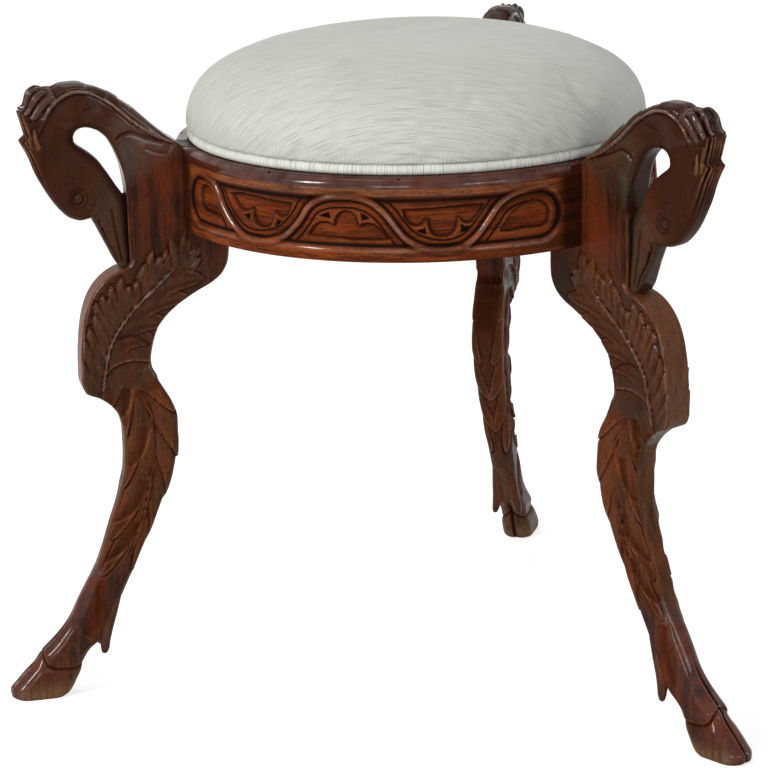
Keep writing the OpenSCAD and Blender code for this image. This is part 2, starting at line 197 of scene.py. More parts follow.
@dataclass
class Relief:
    """Carving on a face that is unrolled to two coordinates in millimetres.

    Heights stand out from the face. The four tones are, in order: where wax lies and shade is painted in cuts
    and hollows; where the polish is rubbed off and highlights are painted on ridges and edges; where the
    polish is thick;
    and where dust makes it pale and sheen is painted on, while below 0 age makes it dull and shade is painted
    on.
    """

    x: Array
    y: Array
    height: Array = field(init=False)
    wax_and_shade: Array = field(init=False)
    wear_and_highlight: Array = field(init=False)
    gloss: Array = field(init=False)
    dust_sheen_age_shade: Array = field(init=False)

    def __post_init__(self) -> None:
        """Starts from the plain face."""
        self.height, self.wax_and_shade, self.wear_and_highlight, self.gloss, self.dust_sheen_age_shade = np.zeros((5, len(self.x)))

    def tones(self) -> Array:
        """Wax and painted shade, wear and painted highlight, gloss, and dust with painted sheen and shade, of
        each point.
        """
        return np.stack([self.wax_and_shade, self.wear_and_highlight, self.gloss, self.dust_sheen_age_shade], axis=-1)

    def darken(self, amount: Array, pick: object = ...) -> None:
        """Lays at least an amount of wax and painted shade on the points picked."""
        self.wax_and_shade[pick] = np.clip(np.maximum(self.wax_and_shade[pick], amount), 0, 1)

    def sink(self, cut: Array, depth: float | Array, dark: float) -> None:
        """Cuts all points down by a share of a depth, and lays wax and paints shade in the cut."""
        self.height -= depth * cut
        self.darken(dark * cut)

    def near(self, line: Array, reach: float) -> tuple[Array, Array, Array, Array]:
        """Places of the points near a line.

        Args:
            line: points of the line.
            reach: greatest distance that matters.

        Returns:
            Indices, share of the way along, signed distance to the left, and plain distance.
        """
        low = line.min(axis=0) - reach
        high = line.max(axis=0) + reach
        pick = np.nonzero((self.x > low[0]) & (self.x < high[0]) & (self.y > low[1]) & (self.y < high[1]))[0]
        px, py = self.x[pick], self.y[pick]
        best = np.full(len(pick), 1e9)
        along = np.zeros(len(pick))
        side = np.zeros(len(pick))
        run = travelled(line)
        for a, d, start, length in zip(line, np.diff(line, axis=0), run, np.diff(run)):
            t = np.clip(((px - a[0]) * d[0] + (py - a[1]) * d[1]) / float(d @ d), 0, 1)
            gx = px - a[0] - t * d[0]
            gy = py - a[1] - t * d[1]
            dist = gx * gx + gy * gy
            better = dist < best
            best = np.where(better, dist, best)
            along = np.where(better, (start + t * length) / run[-1], along)
            side = np.where(better, np.sign(d[0] * gy - d[1] * gx), side)
        best = np.sqrt(best)
        keep = best < reach
        return pick[keep], along[keep], (best * side)[keep], best[keep]

    def lobe(self, points: Line, width: float, style: LobeCut) -> None:
        """Carves one leaf lobe over what is there.

        Args:
            points: from the lobe's root to its tip.
            width: its greatest width.
            style: its form.
        """
        pick, t, v, dist = self.near(flowing(points, 26), width / 2 + 3)
        swell = style.root + (1 - style.root) * ease(0, 0.45, t)
        half = width / 2 * swell * np.sqrt(np.clip(1 - t**style.sharp, 0, 1))
        past = np.where(t >= 1, dist, np.abs(v) - half)
        inside = ease(0.7, -0.7, past) * ease(0.0, 0.2, t)
        q = np.clip(np.abs(v) / np.maximum(half, 0.6), 0, 1)
        crown = (1 - style.bowl) * (1 - style.fall * q**style.keel) + style.bowl * (0.45 + 0.55 * q**2)
        groove = (1 - wave(style.flutes * q)) ** 1.4
        carved = groove * ease(0, 0.12, t) * ease(1.0, 0.8, t)
        climbed = style.under + (style.lift - style.under) * t**style.climb * crown
        new = climbed - style.cut * style.lift * carved
        # Painted shade in the groove round the lobe, in its flutes and in its hollowed middle
        rim = bell(np.maximum(past, 0), 1.3) * (past > -0.6) * ease(style.opens, style.opens + 0.3, t)
        lowered = self.height[pick] - style.gap * rim * (0.8 + 0.9 * ease(0.75, 1.0, t)) * (1 - inside)
        self.height[pick] = lowered * (1 - inside) + new * inside
        hollow = style.bowl * (1 - q**2) * ease(0.25, 0.7, t) * 0.55
        dark = np.clip(0.95 * rim * (1 - inside) + inside * (carved * style.shade + hollow), 0, 1)
        old = self.wax_and_shade[pick]
        self.wax_and_shade[pick] = np.where(inside > 0.5, dark * inside + old * (1 - inside), np.maximum(old, dark))
        # Painted highlight along the lobe's edge and on its ridges
        edge = bell(past + 0.8, 1.0)
        ridge = np.clip((1 - groove) * (0.1 + 0.9 * t) * 0.6 + edge * 0.7, 0, 1) * inside * style.worn
        self.wear_and_highlight[pick] = self.wear_and_highlight[pick] * (1 - inside) + ridge * inside
        self.gloss[pick] = np.maximum(self.gloss[pick], 0.45 * edge * inside * ease(0.5, 0.95, t))

    def ridge(self, points: Line, width: float, lift: float, side: float, shine: float = 0.9) -> None:
        """Raised rib along a line, with a narrow groove on each side: shade is painted in the grooves and a
        highlight on the rib.
        """
        pick, t, _, dist = self.near(flowing(points), width * 1.8)
        fade = ease(0, 0.05, t) * ease(1.0, 0.88, t)
        top = np.sqrt(np.clip(1 - (dist / (width / 2)) ** 2, 0, 1))
        beside = bell(dist - width * 0.8, width * 0.3)
        on = fade * ease(0.0, 0.3, top)
        new = lift * (0.4 + 0.6 * top) * on - side * fade * beside
        self.height[pick] = self.height[pick] * (1 - on) + new
        self.wax_and_shade[pick] *= 1 - on
        self.darken(0.9 * beside * fade, pick)
        self.wear_and_highlight[pick] = np.maximum(self.wear_and_highlight[pick] * (1 - on), (0.3 + 0.7 * shine) * fade * top**3)
        self.gloss[pick] = np.maximum(self.gloss[pick], fade * on * shine)

    def inside(self, shape: Array) -> Array:
        """Which points lie inside a closed outline."""
        hit = np.zeros(len(self.x), bool)
        for (ax, ay), (bx, by) in zip(shape, np.roll(shape, -1, axis=0)):
            if ay != by:
                edge = (bx - ax) * (self.y - ay) / (by - ay) + ax
                hit ^= ((ay > self.y) != (by > self.y)) & (self.x < edge)
        return hit

    def sunk(self, outline: Line, level: float, slope: float, dark: float) -> None:
        """Field that is cut down to a level inside a closed outline, with sloping sides, painted shade at
        their foot and a painted highlight on the lip.
        """
        shape = np.array(outline, float)
        pick, _, _, dist = self.near(np.vstack([shape, shape[:1]]), 8.0)
        depth = np.full(len(self.x), 8.0)
        depth[pick] = dist
        within = self.inside(shape)
        cut = ease(0.0, slope, depth) * within
        lowered = self.height * (1 - cut) + np.minimum(self.height, level) * cut
        self.height = np.where(within, lowered, self.height)
        wall = bell(np.minimum(depth - slope, 0), 0.8)
        self.wax_and_shade *= 1 - cut * 0.5
        self.darken(dark * wall * (0.35 + 0.65 * bell(np.maximum(depth - slope, 0), 1.3)) * within)
        self.wear_and_highlight = np.clip(np.maximum(self.wear_and_highlight * (1 - cut), bell(depth - 0.4, 0.9) * ~within * 0.75), 0, 1)

    def groove(self, points: Line, width: float, depth: float, dark: float = 0.8) -> None:
        """Rounded cut along a line, fading at both ends, with shade painted in it."""
        pick, t, _, dist = self.near(flowing(points), width * 1.3)
        cut = bell(dist, width / 2) * ease(-0.01, 0.08, t) * ease(1.01, 0.92, t)
        self.height[pick] -= depth * cut
        self.darken(dark * cut, pick)
        self.wear_and_highlight[pick] *= 1 - cut

    def step(self, points: Line, drop: float, fade: float, pool: float = 0.0) -> None:
        """Edge along a line: the ground to its left is lower and comes back to its level further off. Shade is
        painted under the edge and, by pool, over the low ground, and a highlight along the edge.
        """
        pick, t, v, _ = self.near(flowing(points), fade)
        ends = ease(0, 0.04, t) * ease(1.0, 0.96, t)
        low = ease(-0.5, 0.5, v) * ease(fade, 0.6, np.maximum(v, 0.6)) * ends
        self.height[pick] -= drop * low
        lip = bell(v - 0.6, 1.0 + 0.8 * pool) * ends
        self.darken(np.maximum((0.85 - 0.45 * pool) * lip, pool * low), pick)
        edge = bell(v + 0.9, 0.9) * ends
        self.wear_and_highlight[pick] = np.clip(np.maximum(self.wear_and_highlight[pick] * (1 - lip), edge), 0, 1)


# Meshes

def linked(name: str, data: bpy.types.ID) -> Object:
    """Object with the given data, in the scene."""
    obj = bpy.data.objects.new(name, data)
    bpy.context.scene.collection.objects.link(obj)
    return obj


def new_mesh(name: str, verts: Array, faces: Faces) -> Object:
    """Smooth object from points in metres, one row of three coordinates per point, and faces."""
    mesh = bpy.data.meshes.new(name)
    mesh.from_pydata([tuple(v) for v in verts.tolist()], [], faces)
    mesh.validate()
    mesh.polygons.foreach_set("use_smooth", [True] * len(mesh.polygons))
    return linked(name, mesh)


def add_field(obj: Object, name: str, values: Array) -> None:
    """Stores a number or a vector for every point of a mesh."""
    single = values.ndim == 1
    layer = obj.data.attributes.new(name, "FLOAT" if single else "FLOAT_VECTOR", "POINT")
    layer.data.foreach_set("value" if single else "vector", values.astype(np.float32).ravel())


def read_points(mesh: bpy.types.Mesh) -> Array:
    """Coordinates of a mesh's points, one row each."""
    flat = np.empty(len(mesh.vertices) * 3, np.float32)
    mesh.vertices.foreach_get("co", flat)
    return flat.reshape(-1, 3).astype(float)


def tube_faces(rows: int, cols: int) -> Faces:
    """Quads between closed rings, with a flat cap at each end."""
    faces: Faces = []
    for i in range(0, (rows - 1) * cols, cols):
        for j in range(cols):
            k = (j + 1) % cols
            faces.append((i + j, i + k, i + cols + k, i + cols + j))
    faces.append(tuple(range(cols - 1, -1, -1)))
    faces.append(tuple((rows - 1) * cols + j for j in range(cols)))
    return faces


def outward(obj: Object) -> None:
    """Turns all faces outwards."""
    shape = bmesh.new()
    shape.from_mesh(obj.data)
    bmesh.ops.recalc_face_normals(shape, faces=shape.faces)
    shape.to_mesh(obj.data)
    shape.free()


def settle(obj: Object, slot: str, *nodes: str) -> None:
    """Lets a finished piece ride on the frame and stand for its plain solids."""
    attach(obj, "root")
    if nodes:
        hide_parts(*nodes)
    log.info("%s: %d faces", obj.name, len(obj.data.polygons))


def carved_piece(
    name: str, points: Array, faces: Faces, grain: Array, tones: Array, finish: Material
) -> Object:
    """Finished wooden piece.

    Args:
        name: name of the object.
        points: its points in metres.
        faces: its faces.
        grain: where each point lies in the plank, in metres.
        tones: wax and painted shade, wear and painted highlight, gloss, and dust with painted sheen, age and
            painted shade, of each point.
        finish: its material.

    Returns:
        The object, for settle.
    """
    obj = new_mesh(name, points, faces)
    outward(obj)
    add_field(obj, "grain", grain)
    add_field(obj, "tone", tones[:, :3])
    add_field(obj, "dust_sheen_age_shade", tones[:, 3])
    obj.data.materials.append(finish)
    return obj


# Finishes

class Tint(Enum):
    """Colours of the stool, as scene-linear red, green and blue."""

    POLISH = (0.086, 0.0195, 0.0062)
    DARK_POLISH = (0.0195, 0.0060, 0.0028)
    REDDISH = (0.135, 0.0200, 0.0042)
    RAIL_POLISH = (0.215, 0.0450, 0.0080)
    RAIL_DARK = (0.050, 0.0130, 0.0040)
    # Rubbed wood, also used as painted highlight on ridges and edges
    RUBBED_AND_HIGHLIGHT = (0.26, 0.086, 0.024)
    # Wax in cuts and pores, also used as painted shade in cuts and hollows
    WAX_AND_SHADE = (0.0034, 0.0017, 0.0011)
    # Dull aged wood, also used as painted shade on the swan's head
    AGED_AND_SHADE = (0.040, 0.0245, 0.0135)
    # Dusty pale wood, also used as painted sheen on the legs' front edges
    DUST_AND_SHEEN = (0.175, 0.092, 0.043)
    PLAIN_WOOD = (0.36, 0.22, 0.115)
    PLAIN_DARK = (0.20, 0.105, 0.05)
    VELVET = (0.52, 0.53, 0.47)
    # Deep threads of the velvet, also used as painted shade in the folds near the welt
    VELVET_DEEP = (0.33, 0.335, 0.295)
    VELVET_PALE = (0.59, 0.60, 0.55)
    # Velvet of the welt, paler than the cover's: partly the cloth itself, partly painted light that lifts it
    # from the pad's shade
    WELT_PALE_AND_LIT = (0.66, 0.66, 0.60)
    STRAP = (0.42, 0.33, 0.19)
    STRAP_LINE = (0.20, 0.13, 0.07)
    WADDING = (0.74, 0.70, 0.60)
    BLACK_CLOTH = (0.012, 0.012, 0.013)
    STEEL = (0.46, 0.45, 0.43)
    RUST = (0.12, 0.06, 0.035)
    FLOOR = (0.6, 0.6, 0.6)
    WHITE = (1.0, 1.0, 1.0)


class Graph:
    """Adds and joins the nodes of one tree.

    An input takes a socket, a node's first output, a tint or a number.
    """

    def __init__(self, tree: Tree) -> None:
        """Keeps the tree."""
        self.tree = tree

    def feed(self, value: object, into: Socket) -> None:
        """Joins a socket or a node, or sets a constant."""
        if isinstance(value, Node):
            value = value.outputs[0]
        if isinstance(value, Socket):
            self.tree.links.new(value, into)
        else:
            into.default_value = (*value.value, 1.0) if isinstance(value, Tint) else value

    def wire(self, node: Node, inputs: dict[object, object]) -> None:
        """Feeds the inputs of a node, by name or index."""
        for key, value in inputs.items():
            self.feed(value, node.inputs[key])

    def add(self, kind: str, inputs: dict[object, object] | None = None, **settings: object) -> Node:
        """Adds a node, sets its properties and feeds its inputs."""
        node = self.tree.nodes.new(kind)
        for key, value in settings.items():
            setattr(node, key, value)
        self.wire(node, inputs or {})
        return node

    def maths(self, operation: str, a: object, b: object = 0.0, clamp: bool = False) -> Node:
        """One operation on numbers."""
        return self.add("ShaderNodeMath", {0: a, 1: b, 2: 0.0}, operation=operation, use_clamp=clamp)

    def plus(self, a: object, b: object) -> Node:
        """Sum of two numbers."""
        return self.maths("ADD", a, b)

    def times(self, a: object, b: object, clamp: bool = False) -> Node:
        """Product of two numbers."""
        return self.maths("MULTIPLY", a, b, clamp)

    def remap(
        self, value: object, low: float, high: float, to_low: float = 0.0, to_high: float = 1.0
    ) -> Node:
        """Value stretched from one range to another, held at its ends."""
        ranges = {"From Min": low, "From Max": high, "To Min": to_low, "To Max": to_high}
        return self.add("ShaderNodeMapRange", {"Value": value, **ranges})

    def blend(self, factor: object, a: object, b: object) -> Socket:
        """Mix of two colours."""
        return self.add("ShaderNodeMix", {0: factor, 6: a, 7: b}, data_type="RGBA").outputs[2]

    def stretched(self, vector: object, scale: tuple[float, float, float]) -> Node:
        """Coordinates scaled by three numbers."""
        return self.add("ShaderNodeMapping", {"Vector": vector, "Scale": scale})

    def noise(self, vector: object, scale: float, detail: float = 3.0, rough: float = 0.5) -> Node:
        """Noise between 0 and 1."""
        inputs = {"Vector": vector, "Scale": scale, "Detail": detail, "Roughness": rough}
        return self.add("ShaderNodeTexNoise", inputs)

    def split(self, vector: object) -> list[Socket]:
        """The three numbers of a vector."""
        return list(self.add("ShaderNodeSeparateXYZ", {0: vector}).outputs)

    def scaled(self, vector: object, by: object) -> Node:
        """Vector times a number."""
        return self.add("ShaderNodeVectorMath", {0: vector, "Scale": by}, operation="SCALE")

    def stored(self, name: str, kind: str = "Vector") -> Socket:
        """What the mesh stores for each point under a name."""
        return self.add("ShaderNodeAttribute", attribute_name=name).outputs[kind]

    def place(self) -> Socket:
        """Coordinates of the object."""
        return self.add("ShaderNodeTexCoord").outputs["Object"]

    def bump(self, height: object, strength: float, distance: float) -> Node:
        """Normal that follows a height."""
        return self.add("ShaderNodeBump", {"Strength": strength, "Distance": distance, "Height": height})

    def seen(self) -> Node:
        """1 where the camera looks straight, by reflection or through something, and 0 for other light."""
        path = self.add("ShaderNodeLightPath").outputs
        direct = self.maths("MAXIMUM", path["Is Camera Ray"], path["Is Glossy Ray"])
        return self.maths("MAXIMUM", direct, path["Is Transmission Ray"])


def new_tree(name: str, kind: str, inputs: dict[str, object], outputs: dict[str, str]) -> tuple:
    """Starts a node group.

    Args:
        name: name of the group.
        kind: type of the tree.
        inputs: by name, a default number or tint, or the socket's type where there is no default.
        outputs: socket type by name.

    Returns:
        Its helper, the outputs of its input node, and its output node.
    """
    tree = bpy.data.node_groups.new(name, kind)
    for key, value in inputs.items():
        sort = value if isinstance(value, str) else "Color" if isinstance(value, Tint) else "Float"
        socket = tree.interface.new_socket(key, in_out="INPUT", socket_type=f"NodeSocket{sort}")
        if not isinstance(value, str):
            Graph(tree).feed(value, socket)
    for key, sort in outputs.items():
        tree.interface.new_socket(key, in_out="OUTPUT", socket_type=f"NodeSocket{sort}")
    g = Graph(tree)
    return g, g.add("NodeGroupInput").outputs, g.add("NodeGroupOutput")


def grain_group() -> Tree:
    """Dark polished grain: streaks along the plank, fine pores, wax and painted shade in cuts, painted
    highlights on rubbed edges.
    """
    tints = {
        "Body": Tint.POLISH, "Streak": Tint.DARK_POLISH, "Warm": Tint.REDDISH, "RubbedAndHighlight": Tint.RUBBED_AND_HIGHLIGHT,
        "WaxAndShadeColour": Tint.WAX_AND_SHADE, "DustAndSheen": Tint.DUST_AND_SHEEN, "AgedAndShade": Tint.AGED_AND_SHADE,
    }
    g, given, result = new_tree(
        "PolishedGrain",
        "ShaderNodeTree",
        {"Vector": "Vector", "WaxAndShade": 0.0, "WearAndHighlight": 0.0, "Gloss": 0.0, "DustSheenAgeShade": 0.0, **tints},
        {"Color": "Color", "Roughness": "Float", "Height": "Float", "Coat": "Float"},
    )
    place, wax_and_shade, wear_and_highlight, dust_sheen_age_shade = (given[key] for key in ("Vector", "WaxAndShade", "WearAndHighlight", "DustSheenAgeShade"))
    along = g.stretched(place, (1.0, 1.0, 0.07))
    broad = g.noise(along, 110.0, 4.0, 0.65)
    fine = g.noise(along, 700.0, 3.0, 0.65)
    pores = g.noise(g.stretched(place, (1.0, 1.0, 0.12)), 2600.0, 2.0, 0.5)
    patch = g.noise(place, 26.0, 3.0, 0.55)
    stain = g.noise(g.stretched(place, (1.0, 1.0, 0.5)), 17.0, 4.0, 0.6)
    rub = g.remap(g.noise(g.stretched(place, (1.0, 1.0, 0.2)), 420.0, 4.0, 0.65), 0.36, 0.6)
    layers = [
        ("Streak", g.remap(g.plus(broad, g.times(fine, 0.6)), 0.72, 0.88)),
        ("Warm", g.times(g.remap(patch, 0.42, 0.62, 0.0, 0.8), g.remap(fine, 0.40, 0.6))),
        ("Streak", g.remap(stain, 0.5, 0.68, 0.0, 0.6)),
        # Paler where dust lies and where sheen is painted
        ("DustAndSheen", g.times(dust_sheen_age_shade, g.remap(g.noise(along, 260.0, 3.0, 0.6), 0.3, 0.6, 0.35, 1.0), True)),
        # Darker where age dulls the wood and where shade is painted
        ("AgedAndShade", g.times(dust_sheen_age_shade, g.remap(g.noise(along, 180.0, 3.0, 0.6), 0.35, 0.6, -0.6, -1.3), True)),
        # Paler where polish is rubbed off and where highlights are painted
        ("RubbedAndHighlight", g.times(g.times(wear_and_highlight, rub, True), 0.75)),
        ("WaxAndShadeColour", g.remap(pores, 0.56, 0.66, 0.0, 0.8)),
        # Wax and painted shade: reddish in shallow cuts, nearly black in deep ones
        ("Warm", g.remap(wax_and_shade, 0.05, 0.4, 0.0, 0.25)),
        ("WaxAndShadeColour", g.remap(wax_and_shade, 0.2, 0.85, 0.0, 0.97)),
    ]
    body = given["Body"]
    for key, share in layers:
        body = g.blend(share, body, given[key])
    rough = g.plus(g.remap(patch, 0.35, 0.7, 0.30, 0.42), g.times(wax_and_shade, 0.25))
    height = g.plus(g.times(broad, 0.6), g.times(fine, 0.35))
    shine = g.plus(given["Gloss"], g.times(wear_and_highlight, 0.3))
    shine = g.times(shine, g.remap(g.noise(place, 70.0, 3.0, 0.6), 0.35, 0.6, 0.55, 1.1))
    g.wire(result, {
        "Color": body,
        "Roughness": g.plus(rough, g.times(dust_sheen_age_shade, 0.25)),
        "Height": g.maths("SUBTRACT", height, g.remap(pores, 0.58, 0.7, 0.0, 0.3)),
        "Coat": g.maths("SUBTRACT", shine, g.times(wax_and_shade, 0.6), True),
    })
    return g.tree


def cloth_group() -> Tree:
    """Plain weave or pile made of two crossing sets of threads."""
    g, given, result = new_tree(
        "ThreadCloth",
        "ShaderNodeTree",
        {"Vector": "Vector", "Pitch": 600.0, "Body": Tint.STRAP, "Line": Tint.STRAP_LINE},
        {"Color": "Color", "Height": "Float"},
    )
    x, y, _ = g.split(g.scaled(given["Vector"], given["Pitch"]))
    warp, weft = (g.maths("SINE", g.times(part, 6.283)) for part in (x, y))
    height = g.remap(g.times(warp, weft), -1.0, 1.0)
    thread = g.times(height, g.remap(g.noise(given["Vector"], 140.0, 3.0), 0.3, 0.7, 0.5, 1.0))
    g.wire(result, {"Color": g.blend(thread, given["Line"], given["Body"]), "Height": height})
    return g.tree


def new_material(name: str) -> tuple[Material, Graph, Node]:
    """Starts a node material and returns it with its helper and its shader."""
    material = bpy.data.materials.new(name)
    material.use_nodes = True
    return material, Graph(material.node_tree), material.node_tree.nodes["Principled BSDF"]


@dataclass(frozen=True)
class WoodFinish:
    """Polished or plain wood whose grain follows what the mesh stores or the object's own coordinates."""

    name: str
    body: Tint = Tint.POLISH
    streak: Tint = Tint.DARK_POLISH
    warm: Tint = Tint.REDDISH
    # The rubbed tint also colours painted highlights, and the wax tint painted shade
    rubbed: Tint = Tint.RUBBED_AND_HIGHLIGHT
    wax: Tint = Tint.WAX_AND_SHADE
    dust_and_sheen: Tint = Tint.DUST_AND_SHEEN
    carved: bool = True
    coat: bool = True
    bump: float = 0.25
    specular: float = 0.035

    def make(self, grain: Tree) -> Material:
        """Builds the material on the shared grain group."""
        material, g, shader = new_material(self.name)
        inputs = {
            "Body": self.body, "Streak": self.streak, "Warm": self.warm, "RubbedAndHighlight": self.rubbed,
            "WaxAndShadeColour": self.wax, "DustAndSheen": self.dust_and_sheen, "Vector": g.stored("grain") if self.carved else g.place(),
        }
        if self.carved:
            inputs.update(zip(("WaxAndShade", "WearAndHighlight", "Gloss"), g.split(g.stored("tone"))))
            inputs["DustSheenAgeShade"] = g.stored("dust_sheen_age_shade", "Fac")
        wood = g.add("ShaderNodeGroup", node_tree=grain)
        g.wire(wood, inputs)
        out = wood.outputs
        if self.coat:
            g.wire(shader, {"Coat Weight": out["Coat"], "Coat Roughness": 0.13, "Coat IOR": 1.5})
        g.wire(shader, {
            "Base Color": out["Color"],
            "Roughness": out["Roughness"],
            "Specular IOR Level": self.specular,
            "Normal": g.bump(out["Height"], self.bump, 0.0006),
        })
        return material


@dataclass(frozen=True)
class ClothFinish:
    """Woven cloth."""

    name: str
    body: Tint
    line: Tint
    pitch: float
    sheen: float = 0.1

    def make(self, cloth: Tree) -> Material:
        """Builds the material on the shared cloth group."""
        material, g, shader = new_material(self.name)
        weave = g.add("ShaderNodeGroup", node_tree=cloth)
        g.wire(weave, {"Vector": g.place(), "Pitch": self.pitch, "Body": self.body, "Line": self.line})
        g.wire(shader, {
            "Base Color": weave.outputs["Color"],
            "Roughness": 0.9,
            "Sheen Weight": self.sheen,
            "Normal": g.bump(weave.outputs["Height"], 0.5, 0.0004),
        })
        return material


@dataclass(frozen=True)
class VelvetFinish:
    """Pale ribbed velvet: fine uneven threads that run one way, rubbed patches, a soft sheen, and shade
    painted in small folds near the welt.
    """

    name: str
    body: Tint = Tint.VELVET
    turn: float = 16.3
    threads: float = 2400.0
    fold_shade: float = 0.22

    def make(self) -> Material:
        """Builds the material."""
        material, g, shader = new_material(self.name)
        turned = {"Vector": g.stored("cloth"), "Rotation": (0.0, 0.0, -math.radians(self.turn))}
        place = g.add("ShaderNodeMapping", turned, vector_type="POINT")
        rib = g.noise(g.stretched(place, (0.02, 1.0, 1.0)), self.threads, 2.0, 0.6)
        slub = g.noise(g.stretched(place, (0.03, 1.0, 1.0)), self.threads * 0.5, 3.0, 0.6)
        lines = g.remap(g.plus(g.times(rib, 0.5), g.times(slub, 0.5)), 0.38, 0.52)
        x, y, z = g.split(g.place())
        angle = g.maths("ARCTAN2", y, x)
        uneven = g.times(g.noise(place, 60.0, 2.0, 0.5), 9.0)
        # Painted shade: dark folds round the foot of the cover, near the welt
        fold = g.maths("SINE", g.plus(g.times(angle, 400.0), uneven))
        near_welt = g.times(g.remap(z, 0.447, 0.463, 1.0, 0.0), self.fold_shade)
        lines = g.maths("SUBTRACT", lines, g.times(g.remap(fold, -1.0, 0.2, 1.0, 0.0), near_welt), True)
        worn = g.remap(g.noise(place, 9.0, 3.0, 0.5), 0.5, 0.75, 0.0, 0.45)
        g.wire(shader, {
            "Base Color": g.blend(worn, g.blend(lines, Tint.VELVET_DEEP, self.body), Tint.VELVET_PALE),
            "Roughness": 0.85,
            "Specular IOR Level": 0.2,
            "Sheen Weight": 0.2,
            "Sheen Roughness": 0.45,
            "Normal": g.bump(lines, 0.25, 0.0003),
        })
        return material


@dataclass(frozen=True)
class MetalFinish:
    """Plain steel with a little rust."""

    name: str

    def make(self) -> Material:
        """Builds the material."""
        material, g, shader = new_material(self.name)
        rust = g.remap(g.noise(g.place(), 420.0, 4.0, 0.6), 0.52, 0.66)
        g.wire(shader, {
            "Base Color": g.blend(rust, Tint.STEEL, Tint.RUST),
            "Roughness": g.remap(rust, 0.0, 1.0, 0.35, 0.85),
            "Metallic": g.remap(rust, 0.0, 1.0, 1.0, 0.1),
        })
        return material


class Finishes:
    """All materials of the stool."""

    def __init__(self) -> None:
        """Builds the shared groups once and each material with its own values."""
        grain = grain_group()
        cloth = cloth_group()
        self.carved = WoodFinish("carved_polished_wood").make(grain)
        self.rail = WoodFinish("rail_polished_wood", Tint.RAIL_POLISH, Tint.RAIL_DARK).make(grain)
        pale, dark = Tint.PLAIN_WOOD, Tint.PLAIN_DARK
        plain = WoodFinish("plain_inner_wood", pale, dark, pale, pale, dark, pale, False, False, 0.35, 0.3)
        self.plain = plain.make(grain)
        self.plug = WoodFinish("hole_wax", Tint.DARK_POLISH, Tint.WAX_AND_SHADE, carved=False).make(grain)
        self.velvet = VelvetFinish("sage_velvet").make()
        self.welt = VelvetFinish("gathered_velvet", Tint.WELT_PALE_AND_LIT, 0.0, 1500.0, 0.0).make()
        self.strap = ClothFinish("webbing_strap", Tint.STRAP, Tint.STRAP_LINE, 420.0).make(cloth)
        self.hessian = ClothFinish("hessian_cloth", Tint.STRAP, Tint.STRAP_LINE, 700.0).make(cloth)
        self.black = ClothFinish("black_dust_cloth", Tint.BLACK_CLOTH, Tint.BLACK_CLOTH, 1100.0).make(cloth)
        self.wadding = ClothFinish("cotton_wadding", Tint.WADDING, Tint.WADDING, 160.0, 0.3).make(cloth)
        self.steel = MetalFinish("worn_steel").make()


# The carved legs

